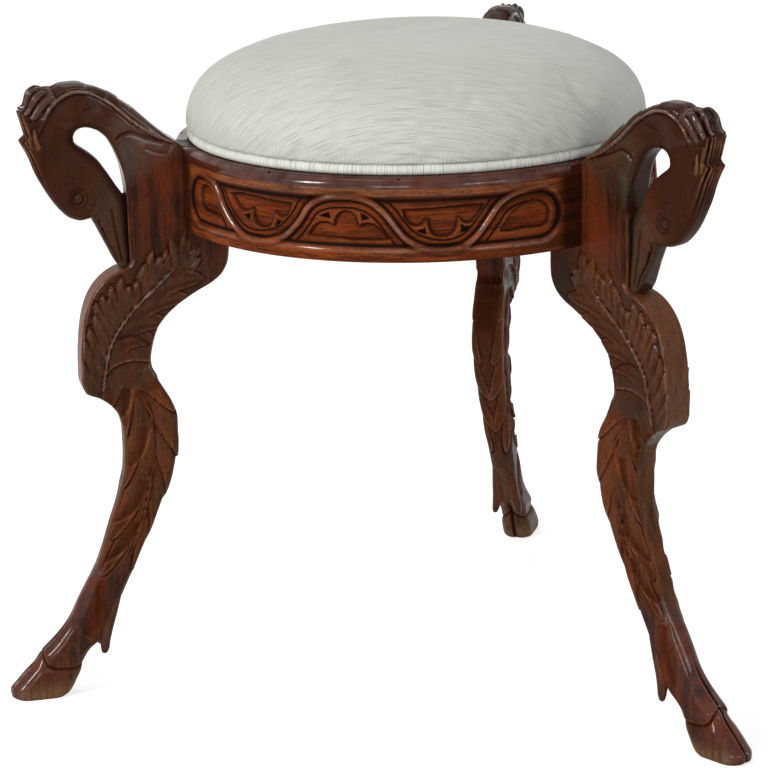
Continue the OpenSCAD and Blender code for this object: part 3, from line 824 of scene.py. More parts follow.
# Sections of a leg from the beak's tip over the neck, down the post and the shank to the sole.
# Each row: back edge (out, up), front edge (out, up) in millimetres, half thickness and rounding as shares.
LEG_STATIONS = [
    (237, 343.5, 231.5, 344.5, 0.74, 0.6), (241, 349, 230.6, 353, 0.77, 0.6),
    (246, 359.5, 230.4, 366, 0.77, 0.65), (251, 370, 230.4, 378, 0.77, 0.75),
    (255, 378.5, 230.6, 389, 0.78, 0.8), (258, 382.6, 231.8, 398.5, 0.8, 0.8),
    (265, 381.4, 236.5, 406.5, 0.86, 0.75), (273, 384, 240.6, 413.5, 0.93, 0.75),
    (280, 390.3, 245, 420.5, 0.96, 0.75), (286.5, 399, 249.6, 427, 0.97, 0.75),
    (292.5, 409.5, 254.8, 432, 0.95, 0.75), (297.5, 420, 260.3, 436.3, 0.92, 0.75),
    (301, 430, 264.5, 439.5, 0.9, 0.75), (304, 437, 266.4, 441.8, 0.9, 0.75),
    (308.2, 445.5, 267.2, 444.4, 0.9, 0.7), (303.8, 449.5, 267.2, 446.8, 0.92, 0.7),
    (306.2, 459, 266.4, 449.2, 0.95, 0.7), (308.4, 468, 265, 451.3, 0.96, 0.7),
    (303, 473, 262.8, 452.8, 0.96, 0.7), (299.6, 483.5, 260.4, 453.5, 0.96, 0.7),
    (292.6, 487.6, 258, 453.6, 0.96, 0.7), (286, 486.3, 255.4, 453.2, 0.96, 0.7),
    (276, 488.9, 252.4, 452.1, 0.96, 0.7), (265, 489.5, 249, 450.4, 0.96, 0.7),
    (255, 487.6, 246, 448, 0.96, 0.7), (244, 483, 243, 444.8, 0.96, 0.7),
    (232, 475.6, 240, 440, 0.96, 0.65), (219.5, 465, 237.2, 434, 0.97, 0.55),
    (209, 454.5, 234.3, 426.5, 0.98, 0.4), (199, 445.3, 232, 419, 1, 0.3),
    (190.5, 438.7, 230.6, 411, 1, 0.2), (183, 434, 229.8, 404.5, 1, 0.25), (167.5, 434, 229.5, 401, 1, 0.3),
    (152.5, 434, 229.5, 397, 1, 0.32), (152.5, 424, 229.5, 391.5, 1, 0.35),
    (152.5, 400, 229.5, 378, 1, 0.35), (152.5, 376, 229.5, 362, 1, 0.35), (152.5, 356, 229.3, 350, 1, 0.3),
    (153.6, 345, 231.5, 343.8, 1, 0.22), (158, 335, 239.5, 341, 1, 0.18),
    (166.5, 327.6, 248, 336.2, 1, 0.14), (179, 321, 257, 327.5, 1, 0.16), (190.5, 314, 263.5, 316, 1, 0.18),
    (201.5, 305.3, 267.6, 302, 1, 0.2), (210, 295, 269.8, 287, 1, 0.2), (214.8, 282, 271, 271, 1, 0.2),
    (217, 270, 271.3, 256.5, 1, 0.2), (216.2, 263, 268.5, 246.6, 1, 0.2), (211.6, 255, 258.5, 241, 1, 0.3),
    (206, 245, 249.2, 233, 1, 0.45), (199.5, 233, 243.4, 223.5, 1, 0.55), (196, 220.5, 241.2, 212, 1, 0.6),
    (196, 207, 241, 197.5, 1, 0.6), (197.8, 191.5, 242, 182, 0.98, 0.65),
    (201, 178.5, 244.8, 170, 0.96, 0.65), (206, 164.5, 248.2, 156.5, 0.94, 0.7),
    (216, 143, 255, 137.5, 0.9, 0.7), (224, 125, 262.4, 116, 0.88, 0.75),
    (231.6, 108, 270.4, 98.6, 0.84, 0.95), (243.5, 83, 282, 77.5, 0.8, 1), (252, 65, 291, 60.5, 0.78, 1),
    (258, 51.5, 300, 49.5, 0.82, 1), (264.5, 43, 307.5, 42, 0.92, 1), (272, 37, 315, 34.8, 0.96, 1),
    (276.4, 31, 317.3, 30.8, 0.88, 1), (278.2, 27, 319.6, 27.6, 0.86, 1),
    (280.4, 20.5, 325.8, 21.8, 0.95, 1), (284.5, 12.5, 333.5, 13.5, 1, 1), (288, 6, 339, 6.8, 1, 1),
    (290.6, 2.4, 338.8, 2.6, 0.98, 1), (294, 0, 335.6, 0, 0.9, 1),
]
# Stations where the post, the knee, the shank and the hoof begin
POST, KNEE, SHANK, HOOF = 31, 37, 48, 57
# First and last station of each of the two rows of feathers down the nape
NAPE_ROWS = ((10.0, 14.0), (14.15, 17.0))
# Midrib of the leaf on the knee, from its root to its tip on the post, and its lobes with their widths
KNEE_RIB = [
    (256, 244), (253, 262), (249, 280), (243, 292), (235, 303), (226, 313), (216, 322), (206, 331),
    (197, 340), (193, 347),
]
KNEE_OUTER = [
    ([(189, 338), (182, 342), (176, 347)], 9),
    ([(188, 342), (182, 348), (177, 355)], 9),
    ([(189, 340), (187, 353), (187, 367)], 10),
    ([(190, 338), (194, 351), (198, 363)], 10),
    ([(207, 327), (203, 340), (202, 355)], 9),
    ([(213, 320), (210, 337), (206, 351)], 10),
    ([(219, 314), (217, 335), (212, 356)], 10),
    ([(224, 311), (223, 329), (218, 346)], 10),
    ([(229, 307), (227, 320), (225, 333)], 8),
    ([(233, 303), (233, 317), (231, 330)], 9),
    ([(237, 300), (239, 319), (237, 337)], 10),
    ([(240, 297), (245, 315), (245, 331)], 9),
    ([(242, 294), (248, 309), (248, 321)], 8),
    ([(245, 290), (251, 308), (252, 324)], 9),
    ([(247, 286), (255, 304), (258, 319)], 9),
    ([(249, 274), (256, 291), (259, 309)], 9),
    ([(251, 264), (260, 281), (264, 300)], 9),
    ([(254, 252), (264, 269), (268, 289)], 9),
    ([(257, 244), (267, 257), (271, 273)], 8),
]
KNEE_INNER = [
    [(249, 280), (233, 288), (213, 286)],
    [(244, 291), (226, 300), (202, 299)],
    [(233, 305), (213, 315), (186, 318)],
    [(216, 321), (198, 330), (173, 332)],
    [(200, 336), (189, 345), (176, 348)],
]
# Middle line of the leaf down the shank, and its lobes: out round the front edge, and in round the back edge
SHANK_RIB = [
    (234, 250), (225, 239), (219.5, 226.5), (218, 210), (218.5, 192), (221, 175), (225, 155), (230, 137),
    (238, 118), (247, 100),
]
SHANK_FRONT = [
    ([(243, 260), (250, 244), (257, 226)], 15),
    ([(236, 256), (240, 236), (243, 205)], 16),
    ([(226, 226), (236, 196), (246, 166)], 18),
    ([(228, 182), (240, 152), (256, 126)], 18),
    ([(236, 142), (249, 119), (264, 97)], 13),
]
SHANK_BACK = [
    ([(232, 262), (214, 251), (197, 226)], 24),
    ([(221, 248), (206, 220), (195, 189)], 23),
    ([(215, 222), (206, 187), (203, 154)], 21),
    ([(218, 186), (217, 152), (219, 121)], 18),
    ([(226, 154), (229, 128), (238, 98)], 13),
]
# Crests of the scooped hollows in front of the middle line
SHANK_CRESTS = [
    [(234, 248), (236, 235), (240, 227), (248, 221)],
    [(221, 216), (224, 204), (229, 193), (236, 186), (251, 178)],
    [(223, 172), (227, 161), (234, 150), (242, 144), (254, 139)],
    [(231, 138), (236, 128), (243, 119), (252, 112), (261, 108)],
]
# Thick plumes behind the swan's head, and two rows of feathers with their tips up, as seen from the side
PLUMES = [
    [(278, 483), (288, 477), (299, 463)],
    [(283, 490), (294, 482), (304, 467)],
    [(290, 495), (300, 487), (310, 471)],
]
FEATHERS = [
    [(302, 439), (305, 452), (308, 467)],
    [(298, 438), (301, 449), (303, 462)],
    [(294, 437), (296, 446), (297.5, 456)],
    [(300, 420), (304, 432), (308, 445)],
    [(296, 420), (299.5, 429), (302, 440)],
]
KNEE_CUT = LobeCut(lift=1.7, under=-0.9, gap=2.1, sharp=1.6, keel=1.3, fall=0.95, opens=0.4)
KNEE_INNER_CUT = LobeCut(1.0, -0.5, 1.3, 2.0, flutes=1.0, cut=0.25, root=0.95, bowl=0.1, worn=0.3)
SHANK_CUT = LobeCut(1.7, -1.6, 2.2, 1.8, worn=0.35, shade=0.3, keel=1.6, fall=0.7, opens=0.15)
PLUME_CUT = LobeCut(1.2, -0.6, 1.6, 5.0, climb=0.4, flutes=0.5, worn=0.2, shade=0.6)
FEATHER_CUT = LobeCut(0.7, -1.0, 0.9, 2.2, flutes=0.5, cut=0.3, worn=1.0, shade=0.5)
# Fine grooves, each with its width, depth and darkness: on the neck, and on the head after its eye is cut
NECK_LINES = [
    ([(272, 484), (262, 486), (250, 483), (240, 478), (228, 469), (214, 457)], 1.8, 0.6, 0.5),
    ([(237, 442), (232, 447), (225, 449), (219, 447), (210, 443), (198, 439)], 2.6, 1.3, 0.8),
    ([(260, 467), (257, 469), (252, 470), (249, 472)], 2.0, 0.9, 0.8),
    ([(215, 436), (206, 432), (196, 431)], 2.2, 0.5, 0.5),
]
HEAD_LINES = [
    ([(274, 419), (269, 415)], 2.0, 0.5, 0.8),
    ([(250, 383), (252, 379), (247, 366), (241, 355), (238, 346)], 1.8, 1.1, 0.8),
    ([(242, 392), (240, 378), (237, 359), (235, 347)], 1.8, 1.1, 0.8),
    ([(250, 376), (247.5, 365)], 2.0, 1.2, 0.8),
    ([(262, 384), (257, 389), (253, 396)], 2.0, 0.5, 0.5),
]
# Edge of the mantle over the seat, and the top edge of the hoof
MANTLE = [
    (296, 446), (290, 459), (281, 473), (268, 481), (253, 480), (238, 471), (222, 456), (206, 443.5),
    (190, 437),
]
CORONET = [(325, 41), (316, 36), (310, 28), (303, 24.5), (293, 23.5), (283, 24), (275, 28), (268, 33)]
# Rings of a dewclaw: distance out, distance from the leg's middle, height, and radius out and across
DEWCLAW = [
    (247.0, 2.6, 92.0, 2.0, 5.0), (252.0, 3.8, 78.0, 3.8, 6.0), (257.0, 5.4, 64.0, 4.6, 5.8),
    (260.8, 7.2, 53.0, 4.6, 4.8), (263.2, 9.0, 44.0, 4.2, 3.9), (263.8, 10.2, 38.0, 3.6, 3.1),
    (264.4, 10.9, 34.4, 2.4, 2.1), (264.6, 11.1, 33.4, 0.9, 0.8),
]
# Uncut wood that ties the beak to the post: height and distance out
BEAK_WEB = [(347.0, 234.0), (352.0, 236.0), (370.0, 236.5), (392.0, 236.5), (398.0, 233.0)]


@dataclass
class CarvedLeg:
    """One leg, carved from one plank: beak, head and neck of a swan, post, leafy knee and shank, cloven hoof.

    Half a ring has across points, which stand closer on its rounded edges by the factor crowding. Spacing is
    the distance between rings on the neck, post, knee, shank and hoof, and zones are the stations where it
    changes. Rise scales the heights above the frame.
    """

    name: str
    angle: float
    rise: float = 0.964
    across: int = 65
    crowding: float = 2.2
    around_claw: int = 20
    zones: tuple[int, ...] = (POST, KNEE, 49, 62)
    spacing: tuple[float, ...] = (1.0, 3.5, 1.1, 1.15, 1.6)

    def stations(self) -> tuple[Array, Array]:
        """All rings of the leg.

        Returns:
            Six numbers per ring, and the ring's place in the list of stations.
        """
        rows = np.array(LEG_STATIONS, float)
        places: list[float] = []
        for i, way in enumerate(np.diff(rows, axis=0)):
            run = max(np.hypot(*way[0:2]), np.hypot(*way[2:4]))
            count = max(1, math.ceil(run / self.spacing[sum(i >= first for first in self.zones)]))
            places += [i + k / count for k in range(count)]
        at = np.array([*places, len(rows) - 1.0])
        smooth = monotone(rows, at)
        straight = np.column_stack([np.interp(at, np.arange(len(rows)), rows[:, k]) for k in (0, 1)])
        feather_tips = ((at > 12.9) & (at < NAPE_ROWS[-1][-1] + 0.1))[:, None]
        smooth[:, 0:2] = np.where(feather_tips, straight, smooth[:, 0:2])
        return smooth, at

    def sections(self, rows: Array) -> tuple[Array, Array, Array, Array, Array]:
        """Halves of all rings, from the middle of the back face over the side to that of the front face.

        Args:
            rows: six numbers per ring.

        Returns:
            Points along and across, normals along and across, and unrolled distance from the side's middle.
        """
        w = np.hypot(rows[:, 2] - rows[:, 0], rows[:, 3] - rows[:, 1])[:, None] / 2
        b = rows[:, 4:5] * PLANK / 2
        r = np.minimum(rows[:, 5:6] * np.minimum(w, b), w * 0.98)
        face, turn, flat = b - r, math.pi * r / 2, 2 * (w - r)
        lengths = np.hstack([face, turn, flat, turn, face])
        real = running(lengths)
        mark = running(lengths * np.array([1.0, self.crowding, 1.0, self.crowding, 1.0]))
        run = np.stack([np.interp(np.linspace(0, m[-1], self.across), m, k) for m, k in zip(mark, real)])
        back, front = (np.clip((run - real[:, k:k + 1]) / r, 0, math.pi / 2) for k in (1, 3))
        along = -w + r - r * np.cos(back) + np.clip(run - real[:, 2:3], 0, flat) + r * np.sin(front)
        out = np.minimum(run, face) + r * np.sin(back) - r * (1 - np.cos(front))
        out -= np.maximum(run - real[:, 4:5], 0)
        out[:, [0, -1]] = 0.0
        facing, sideways = np.sin(front) - np.cos(back), np.sin(back) + np.cos(front) - 1
        return along, out, facing, sideways, run - real[:, -1:] / 2

    def carve(self, relief: Relief, across: Array, facing: Array, ring: Array) -> None:
        """Cuts the ornament into the unrolled half face.

        Args:
            relief: the face, its coordinates in millimetres out from the axis and up from the floor.
            across: distance of each point from the plank's middle.
            facing: -1 on the back edge, 0 on the side and 1 on the front edge.
            ring: the place of each point's ring in the list of stations.
        """
        self.carve_shank(relief)
        self.carve_knee(relief)
        self.keep_to_side(relief, facing, ring)
        self.carve_swan(relief)
        self.carve_nape(relief, across, facing, ring)
        self.carve_hoof(relief, across, facing, ring)

    def carve_shank(self, relief: Relief) -> None:
        """Leaf that hangs down the shank: long lobes, each laid over the next one down."""
        lobes = [(*lobe, bowl) for group, bowl in ((SHANK_FRONT, 0.9), (SHANK_BACK, 0.25)) for lobe in group]
        for line, width, bowl in sorted(lobes, key=lambda lobe: lobe[0][2][1]):
            relief.lobe(line, width, replace(SHANK_CUT, bowl=bowl))
        pick, t, v, dist = relief.near(flowing(SHANK_RIB), 45)
        down = 170 * t
        hair = (1 - wave((dist - 0.3 * down + 1.4 * np.sin(0.09 * down + 0.2 * v)) / 3.1)) ** 3
        hair *= ease(0.02, 0.1, t) * ease(1.0, 0.93, t) * (0.5 + 0.5 * np.sin(0.13 * down + 0.7 * v))
        # The hair lines are cut in, with a little shade painted in them
        relief.height[pick] -= 0.15 * hair
        relief.wax_and_shade[pick] = np.clip(relief.wax_and_shade[pick] + 0.2 * hair, 0, 1)
        for crest in SHANK_CRESTS:
            relief.step(crest, 2.3, 11, 0.5)
        relief.ridge(SHANK_RIB, 1.6, 0.5, 0.6, 0.0)

    def carve_knee(self, relief: Relief) -> None:
        """Leaf that climbs over the knee onto the post."""
        for line in KNEE_INNER:
            relief.lobe(line, 19.0, KNEE_INNER_CUT)
        for k, (line, width) in enumerate(KNEE_OUTER):
            relief.lobe(line, width + 2, replace(KNEE_CUT, lift=1.7 + 0.5 * math.sin(2.4 * k)))
        relief.ridge(KNEE_RIB, 1.7, 1.3, 1.0)
        relief.groove([(243, 287), (235, 290), (227, 289), (221, 285), (216, 281)], 2.6, 1.0)
        relief.step([(252, 260), (246, 266), (234, 269.5), (223, 268.5), (212, 266)], 1.6, 12)

    def keep_to_side(self, relief: Relief, facing: Array, ring: Array) -> None:
        """Leaves the knee's edges smooth, and keeps the shank's lobes inside its outline."""
        side = 1 - np.clip(np.abs(facing), 0, 1) ** 1.5
        knee = (ring > POST - 1) & (ring < SHANK)
        kept = np.where(knee, side, 1.0)
        relief.height *= kept
        relief.wax_and_shade *= kept
        # Painted highlight: a pale glossy line along both arrises of the knee
        arris = np.where(knee & (ring > KNEE), bell(np.abs(facing) - 0.55, 0.25), 0)
        relief.wear_and_highlight = relief.wear_and_highlight * kept + 0.7 * arris
        relief.gloss = np.maximum(relief.gloss * (ring > KNEE), 0.05 + 0.07 * (ring < POST)) + 0.5 * arris
        shank = ease(SHANK - 0.2, SHANK + 1, ring)
        # Painted shade: the swan's head and neck are painted darker and duller; the knee's sides are made
        # darker and duller too
        dull = ease(KNEE - 1.5, KNEE + 1.5, ring) * (1 - shank) * side
        aged_and_shaded = 0.65 * ease(POST + 1, POST - 2, ring) + 0.5 * dull
        above_hoof = ease(HOOF + 1, HOOF, ring)
        # Painted sheen: the front edge, from the post down to the hoof, is painted paler
        front = ease(0.75, 0.95, facing) * ease(POST, POST + 2, ring) * above_hoof
        relief.dust_sheen_age_shade = 0.3 * front + 0.2 * shank * (1 - front) - aged_and_shaded
        relief.wear_and_highlight = np.maximum(relief.wear_and_highlight, 0.4 * front)
        relief.height -= 1.3 * (1 - side) * shank
        # Painted shade in the hollow along the back edge at the top of the shank
        hollow = ease(-0.5, -0.95, facing) * ease(SHANK - 0.4, SHANK + 0.6, ring) * ease(52.2, 50.6, ring)
        relief.height = relief.height * (1 - hollow) - 1.6 * hollow
        relief.wax_and_shade = np.clip(relief.wax_and_shade * (1 - hollow) + 0.55 * hollow, 0, 1)
        bend = ease(0.6, 0.97, facing) * ease(SHANK - 1.2, SHANK, ring) * above_hoof
        relief.height = relief.height * (1 - bend) - 0.8 * bend
        relief.wax_and_shade *= 1 - bend
        relief.wear_and_highlight *= 1 - bend

    def carve_swan(self, relief: Relief) -> None:
        """Head, beak and mantle."""
        # Painted shade: the head and neck are darkened, more towards their outer side
        relief.darken(0.52 * ease(250.0, 285.0, relief.x + 0.45 * (relief.y - 380.0)) * (relief.y > 370))
        relief.step(MANTLE, 1.4, 16)
        relief.ridge([(x + 1.2, z + 1.8) for x, z in MANTLE[1:-1]], 2.4, 0.8, 0.5)
        relief.step([(279, 478), (283, 485), (288, 493)], 1.3, 10)
        relief.step([(243, 476), (249, 480), (256, 486), (261, 496)], 1.5, 16)
        relief.step([(226, 467), (230, 473), (235, 482)], 1.3, 14)
        for line in NECK_LINES:
            relief.groove(*line)
        cheek = np.hypot((relief.x - 270.0) / 19.0, (relief.y - 408.0) / 24.0)
        relief.height += 1.3 * np.clip(1 - cheek**2, 0, 1)
        # Painted shade in the rings round the eye and in its pupil
        orbit = np.hypot((relief.x - 266.8) / 6.8, (relief.y - 400.6) / 7.6)
        relief.height -= ease(1.25, 0.6, orbit)
        relief.darken(0.75 * bell(orbit - 1.0, 0.16))
        socket = np.hypot((relief.x - 266.8) / 3.7, (relief.y - 400.4) / 4.4)
        relief.sink(bell(socket - 1.0, 0.3), 0.8, 0.85)
        ball = np.hypot(relief.x - 266.8, relief.y - 400.0) / 2.7
        relief.height = np.where(ball < 1, np.sqrt(np.clip(1 - ball**2, 0, 1)), relief.height)
        relief.wax_and_shade *= ball >= 1
        pupil = np.hypot(relief.x - 267.1, relief.y - 400.1) / 1.6
        relief.sink(np.clip(1 - pupil**2, 0, 1), 0.8, 0.6)
        for line in HEAD_LINES:
            relief.groove(*line)

    def carve_nape(self, relief: Relief, across: Array, facing: Array, ring: Array) -> None:
        """Rows of feathers down the outer edge of the neck, and the thick plumes on its crown."""
        for line in PLUMES:
            relief.lobe(line, 7.0, PLUME_CUT)
        for line in FEATHERS:
            relief.lobe(line, 5.0, FEATHER_CUT)
        outer = ease(-0.25, -0.8, facing)
        strand = wave(across / 3.4)
        jag = 0.35 * (2 * strand - 1)
        for first, last in NAPE_ROWS:
            zone = outer * ease(first - 0.6, first + 1.2, ring) * ease(last + 0.3, last + 0.1, ring)
            cut = zone * (1 - strand) ** 1.2
            torn = outer * ease(last - 0.7, last, ring + 0.4 - jag) * (1 - strand)
            torn *= ease(last + 0.5, last + 0.2, ring)
            relief.height = relief.height * (1 - zone) - 1.3 * cut - 2.2 * torn
            # Painted shade between the strands
            relief.wax_and_shade = np.clip(relief.wax_and_shade * (1 - zone) + 0.95 * cut, 0, 1)
            worn = zone * strand * ease(first + 0.5, last - 0.5, ring)
            relief.wear_and_highlight = np.clip(relief.wear_and_highlight * (1 - zone) + worn, 0, 1)
        # Grooves between the plumes, with shade painted in them
        plume = wave(across / 5.4 + 0.5 * np.sin(ring * 2.2) / FULL_TURN)
        zone = outer * ease(17.1, 17.5, ring) * ease(21.3, 20.7, ring)
        relief.sink(zone * (1 - plume) ** 1.4, 2.4, 0.95)
        crown = ease(16.9, 17.6, ring) * ease(POST, POST - 3, ring) * ease(0.35, -0.2, facing)
        relief.gloss = np.clip(relief.gloss + 0.5 * crown, 0, 1)

    def carve_hoof(self, relief: Relief, across: Array, facing: Array, ring: Array) -> None:
        """Hair line above the ankle, coronet and cloven front."""
        below = ease(HOOF + 0.2, HOOF + 1.6, ring)
        kept = 1 - below * ease(-0.1, 0.5, facing)
        relief.height *= kept
        relief.wax_and_shade *= kept
        relief.groove([(266, 96), (266, 82), (268, 68), (272, 56), (277, 47)], 9.0, 1.5, 0.42)
        relief.step(CORONET, 0.8, 8)
        relief.groove(CORONET, 2.8, 0.9, 0.7)
        split = ease(0.3, 0.9, facing) * ease(HOOF + 1.5, HOOF + 4, ring)
        lip = split * bell(across - 2.2, 0.8)
        # Painted shade in the cleft down the front and in the groove at the heel
        relief.sink(split * bell(across, 1.5), 1.3 + 2.9 * ease(62.0, 68.0, ring), 1.0)
        relief.sink(ease(-0.3, -0.9, facing) * bell(across, 2.4) * ease(61.0, 63.0, ring), 2.0, 1.0)
        front = ease(-0.2, 0.4, facing) * ease(HOOF - 0.5, HOOF + 1.5, ring) * ease(69.5, 68.0, ring)
        relief.gloss = np.clip(relief.gloss * (1 - front) + (0.5 + 0.3 * lip) * front, 0, 1)
        relief.wear_and_highlight = np.clip(relief.wear_and_highlight + 0.6 * lip, 0, 1)
        low = ease(66.2, 69.0, ring) * ease(0.9, 0.2, facing) + ease(69.0, 70.0, ring)
        back = ease(0.1, -0.6, facing) * ease(HOOF, HOOF + 3, ring)
        relief.dust_sheen_age_shade = np.clip(relief.dust_sheen_age_shade * (1 - below) + 0.9 * low + 0.5 * back, -1, 1)

    def dewclaw(self, side: int) -> Array:
        """Rings of one dewclaw in leg coordinates (out, across, up)."""
        turn = circle(self.around_claw)
        rings = [stacked(s + a * np.cos(turn), side * (y + b * np.sin(turn)), z) for s, y, z, a, b in DEWCLAW]
        return np.vstack(rings)

    def beak_web(self) -> Array:
        """Corners of the uncut wood that ties the beak to the post, in rings from bottom to top."""
        corners = []
        for z, out in BEAK_WEB:
            corners += [(228.0, -8.0, z), (out, -8.0, z), (out, 8.0, z), (228.0, 8.0, z)]
        return np.array(corners)

    def build(self, finishes: Finishes) -> None:
        """Makes the leg's mesh."""
        rows, at = self.stations()
        along, across, facing, sideways, flat = self.sections(rows)
        back, front = rows[:, None, 0:2], rows[:, None, 2:4]
        middle = (back + front) / 2
        way = (front - back) / np.linalg.norm(front - back, axis=-1, keepdims=True)
        face = middle + way * flat[..., None]
        relief = Relief(face[..., 0].ravel(), face[..., 1].ravel())
        self.carve(relief, across.ravel(), facing.ravel(), np.repeat(at, self.across))
        height = relief.height.reshape(across.shape)
        place = middle + way * (along + facing * height)[..., None]
        across = np.maximum(across + sideways * height, 0.0)
        across[:, [0, -1]] = 0.0
        # The other half mirrors the points between the two middles
        n = self.across
        order = [*range(n), *range(n - 2, 0, -1)]
        half = stacked(place[..., 0], across, np.maximum(place[..., 1], 0.0))
        local = (half[:, order] * [[[1.0, 1.0, 1.0]] * n + [[1.0, -1.0, 1.0]] * (n - 2)]).reshape(-1, 3)
        tones = relief.tones().reshape(*across.shape, 4)[:, order].reshape(-1, 4)
        faces = tube_faces(len(rows), len(order))
        extras = [(self.dewclaw(side), self.around_claw, (0.05, 0.1, 0.2, 0.1)) for side in (-1, 1)]
        # Painted shade: the uncut web between beak and post is painted nearly black
        extras.append((self.beak_web(), 4, (0.95, 0.0, 0.0, 0.0)))
        for part, around, tone in extras:
            start = len(local)
            faces += [tuple(start + k for k in face) for face in tube_faces(len(part) // around, around)]
            local = np.vstack([local, part])
            tones = np.vstack([tones, np.tile(tone, (len(part), 1))])
        grain = local * MM
        local[:, 2] -= (1 - self.rise) * np.maximum(local[:, 2] - FRAME_TOP, 0.0)
        turn = np.array(Matrix.Rotation(math.radians(self.angle), 3, "Z"))
        points = local @ turn.T * MM
        obj = carved_piece(f"carved_{self.name}", points, faces, grain, tones, finishes.carved)
        settle(obj, "carved_wood", self.name)


# The rails

# Centre line of the vine along a rail: millimetres from the rail's middle, and above the floor
VINE = [
    (-150, 420.4), (-136, 419.4), (-126, 416.8), (-120, 411), (-115, 402.5), (-108, 394), (-100, 387),
    (-91, 382.3), (-82, 380.6), (-72, 380.8), (-62, 382.8), (-51, 387.5), (-42, 395.2), (-36, 402.5),
    (-31, 410), (-24, 415.2), (-14, 418.6), (-2, 419.6), (7, 419.2), (16, 416.9), (23, 412.8), (30, 406.2),
    (36.5, 397.5), (43, 389.8), (52, 384), (63, 380.6), (75, 379.9), (85, 382.1), (93, 386.6), (99, 392.4),
    (104, 398.8), (108.5, 404.8), (113, 410.4), (118, 414.3), (126, 417.8), (136, 419.6), (150, 420.4),
]
# Outlines of the fields that are cut down between the tracery: middle bay, two side bays, two end drops
PANEL_FIELDS = [
    [
        (-33, 388.8), (-30, 393.5), (-27, 397.6), (-22.5, 400.6), (-17, 401.4), (-13, 400.8),
        (-10.8, 399.4), (-10.6, 402.5), (-9, 405.6), (-6, 408.8), (-1, 410.5), (4, 409.6), (7.5, 406.2),
        (9, 402.4), (9.4, 399.5), (12, 400.9), (16, 401.6), (20.5, 400.9), (25, 398), (29.5, 393),
        (33.5, 387.6), (5, 387.4), (-14, 388),
    ],
    [
        (-106.5, 413.2), (-103, 408.5), (-99, 403.9), (-95.5, 401.3), (-91, 400.2), (-86, 401.2),
        (-82.2, 403.2), (-82, 397.6), (-80, 393.6), (-76.5, 391.2), (-71, 390.2), (-65.5, 391.6),
        (-62, 395), (-60.4, 398.5), (-59.2, 402.8), (-55.5, 400.6), (-51, 400.4), (-47.5, 402.6),
        (-45, 406.9), (-43.4, 411.4), (-43.2, 413), (-57, 413.2), (-72, 414.4), (-92, 415.4),
    ],
    [
        (40.4, 411.6), (42, 405.1), (45.5, 400.2), (49, 397.8), (53, 397.5), (56.5, 399), (59.2, 402.4),
        (59.8, 397.2), (61.8, 392.8), (65.2, 389.9), (70, 388.8), (75, 389.2), (79, 391.6), (81.8, 396),
        (83, 402.8), (86, 399.4), (90, 398.3), (94, 399.8), (98.5, 404), (101.5, 409), (103.5, 413.6),
        (76, 413.1), (62, 412.2),
    ],
    [
        (113, 390.6), (115, 394.6), (118.5, 399.8), (122, 403.9), (126.5, 407.6), (132, 410.6),
        (138, 412.4), (144, 412.6), (149.5, 411.2), (154, 407.8), (156.8, 402.6), (156.6, 396.6),
        (154.2, 392.8), (149.5, 390.6), (141, 390.2), (133, 390.6), (122, 389.8),
    ],
    [
        (-113, 390.8), (-120, 398), (-125, 405.4), (-129.5, 411.4), (-134, 413.4), (-140, 413.8),
        (-145.6, 412.4), (-149.6, 408.6), (-150.8, 403), (-150, 397), (-147.2, 393.8), (-142, 392.4),
        (-128, 391.4),
    ],
]
# Small holes beside the points of the tracery
PANEL_EYELETS = [
    [(-22.5, 404), (-18.5, 406.4), (-13.6, 408.2), (-12.6, 405), (-12.6, 402.6), (-17.5, 403.4)],
    [(10.2, 408.6), (14.5, 406.6), (18.5, 403.8), (14.5, 403), (11.2, 402.2), (10.8, 405)],
    [(-92.5, 398.4), (-88, 399), (-84, 400.4), (-83.6, 397.4), (-84.4, 394.4), (-88.5, 396)],
    [(-60.8, 393.2), (-57.6, 394), (-52.4, 398.2), (-55.4, 398.2), (-57.8, 399.4), (-58.8, 396.4)],
    [(49.4, 396), (52.5, 395.6), (56, 396.4), (58.4, 398), (58.6, 395), (60, 392), (56, 392.6)],
    [(83.4, 391.8), (84.2, 395), (84.4, 399.4), (87.4, 397.2), (93.6, 397.4), (89.4, 393.8)],
]


def between_legs(share: Array, out: Array, angle: float) -> Array:
    """Angles of points on a rail.

    Args:
        share: place of each row, from -1 at one leg to 1 at the other.
        out: distance of each point to the axis.
        angle: the rail's middle in degrees.

    Returns:
        One angle per point.
    """
    return share[:, None] * (math.radians(60) - np.arcsin(PLANK / 2 / out)) + math.radians(angle)


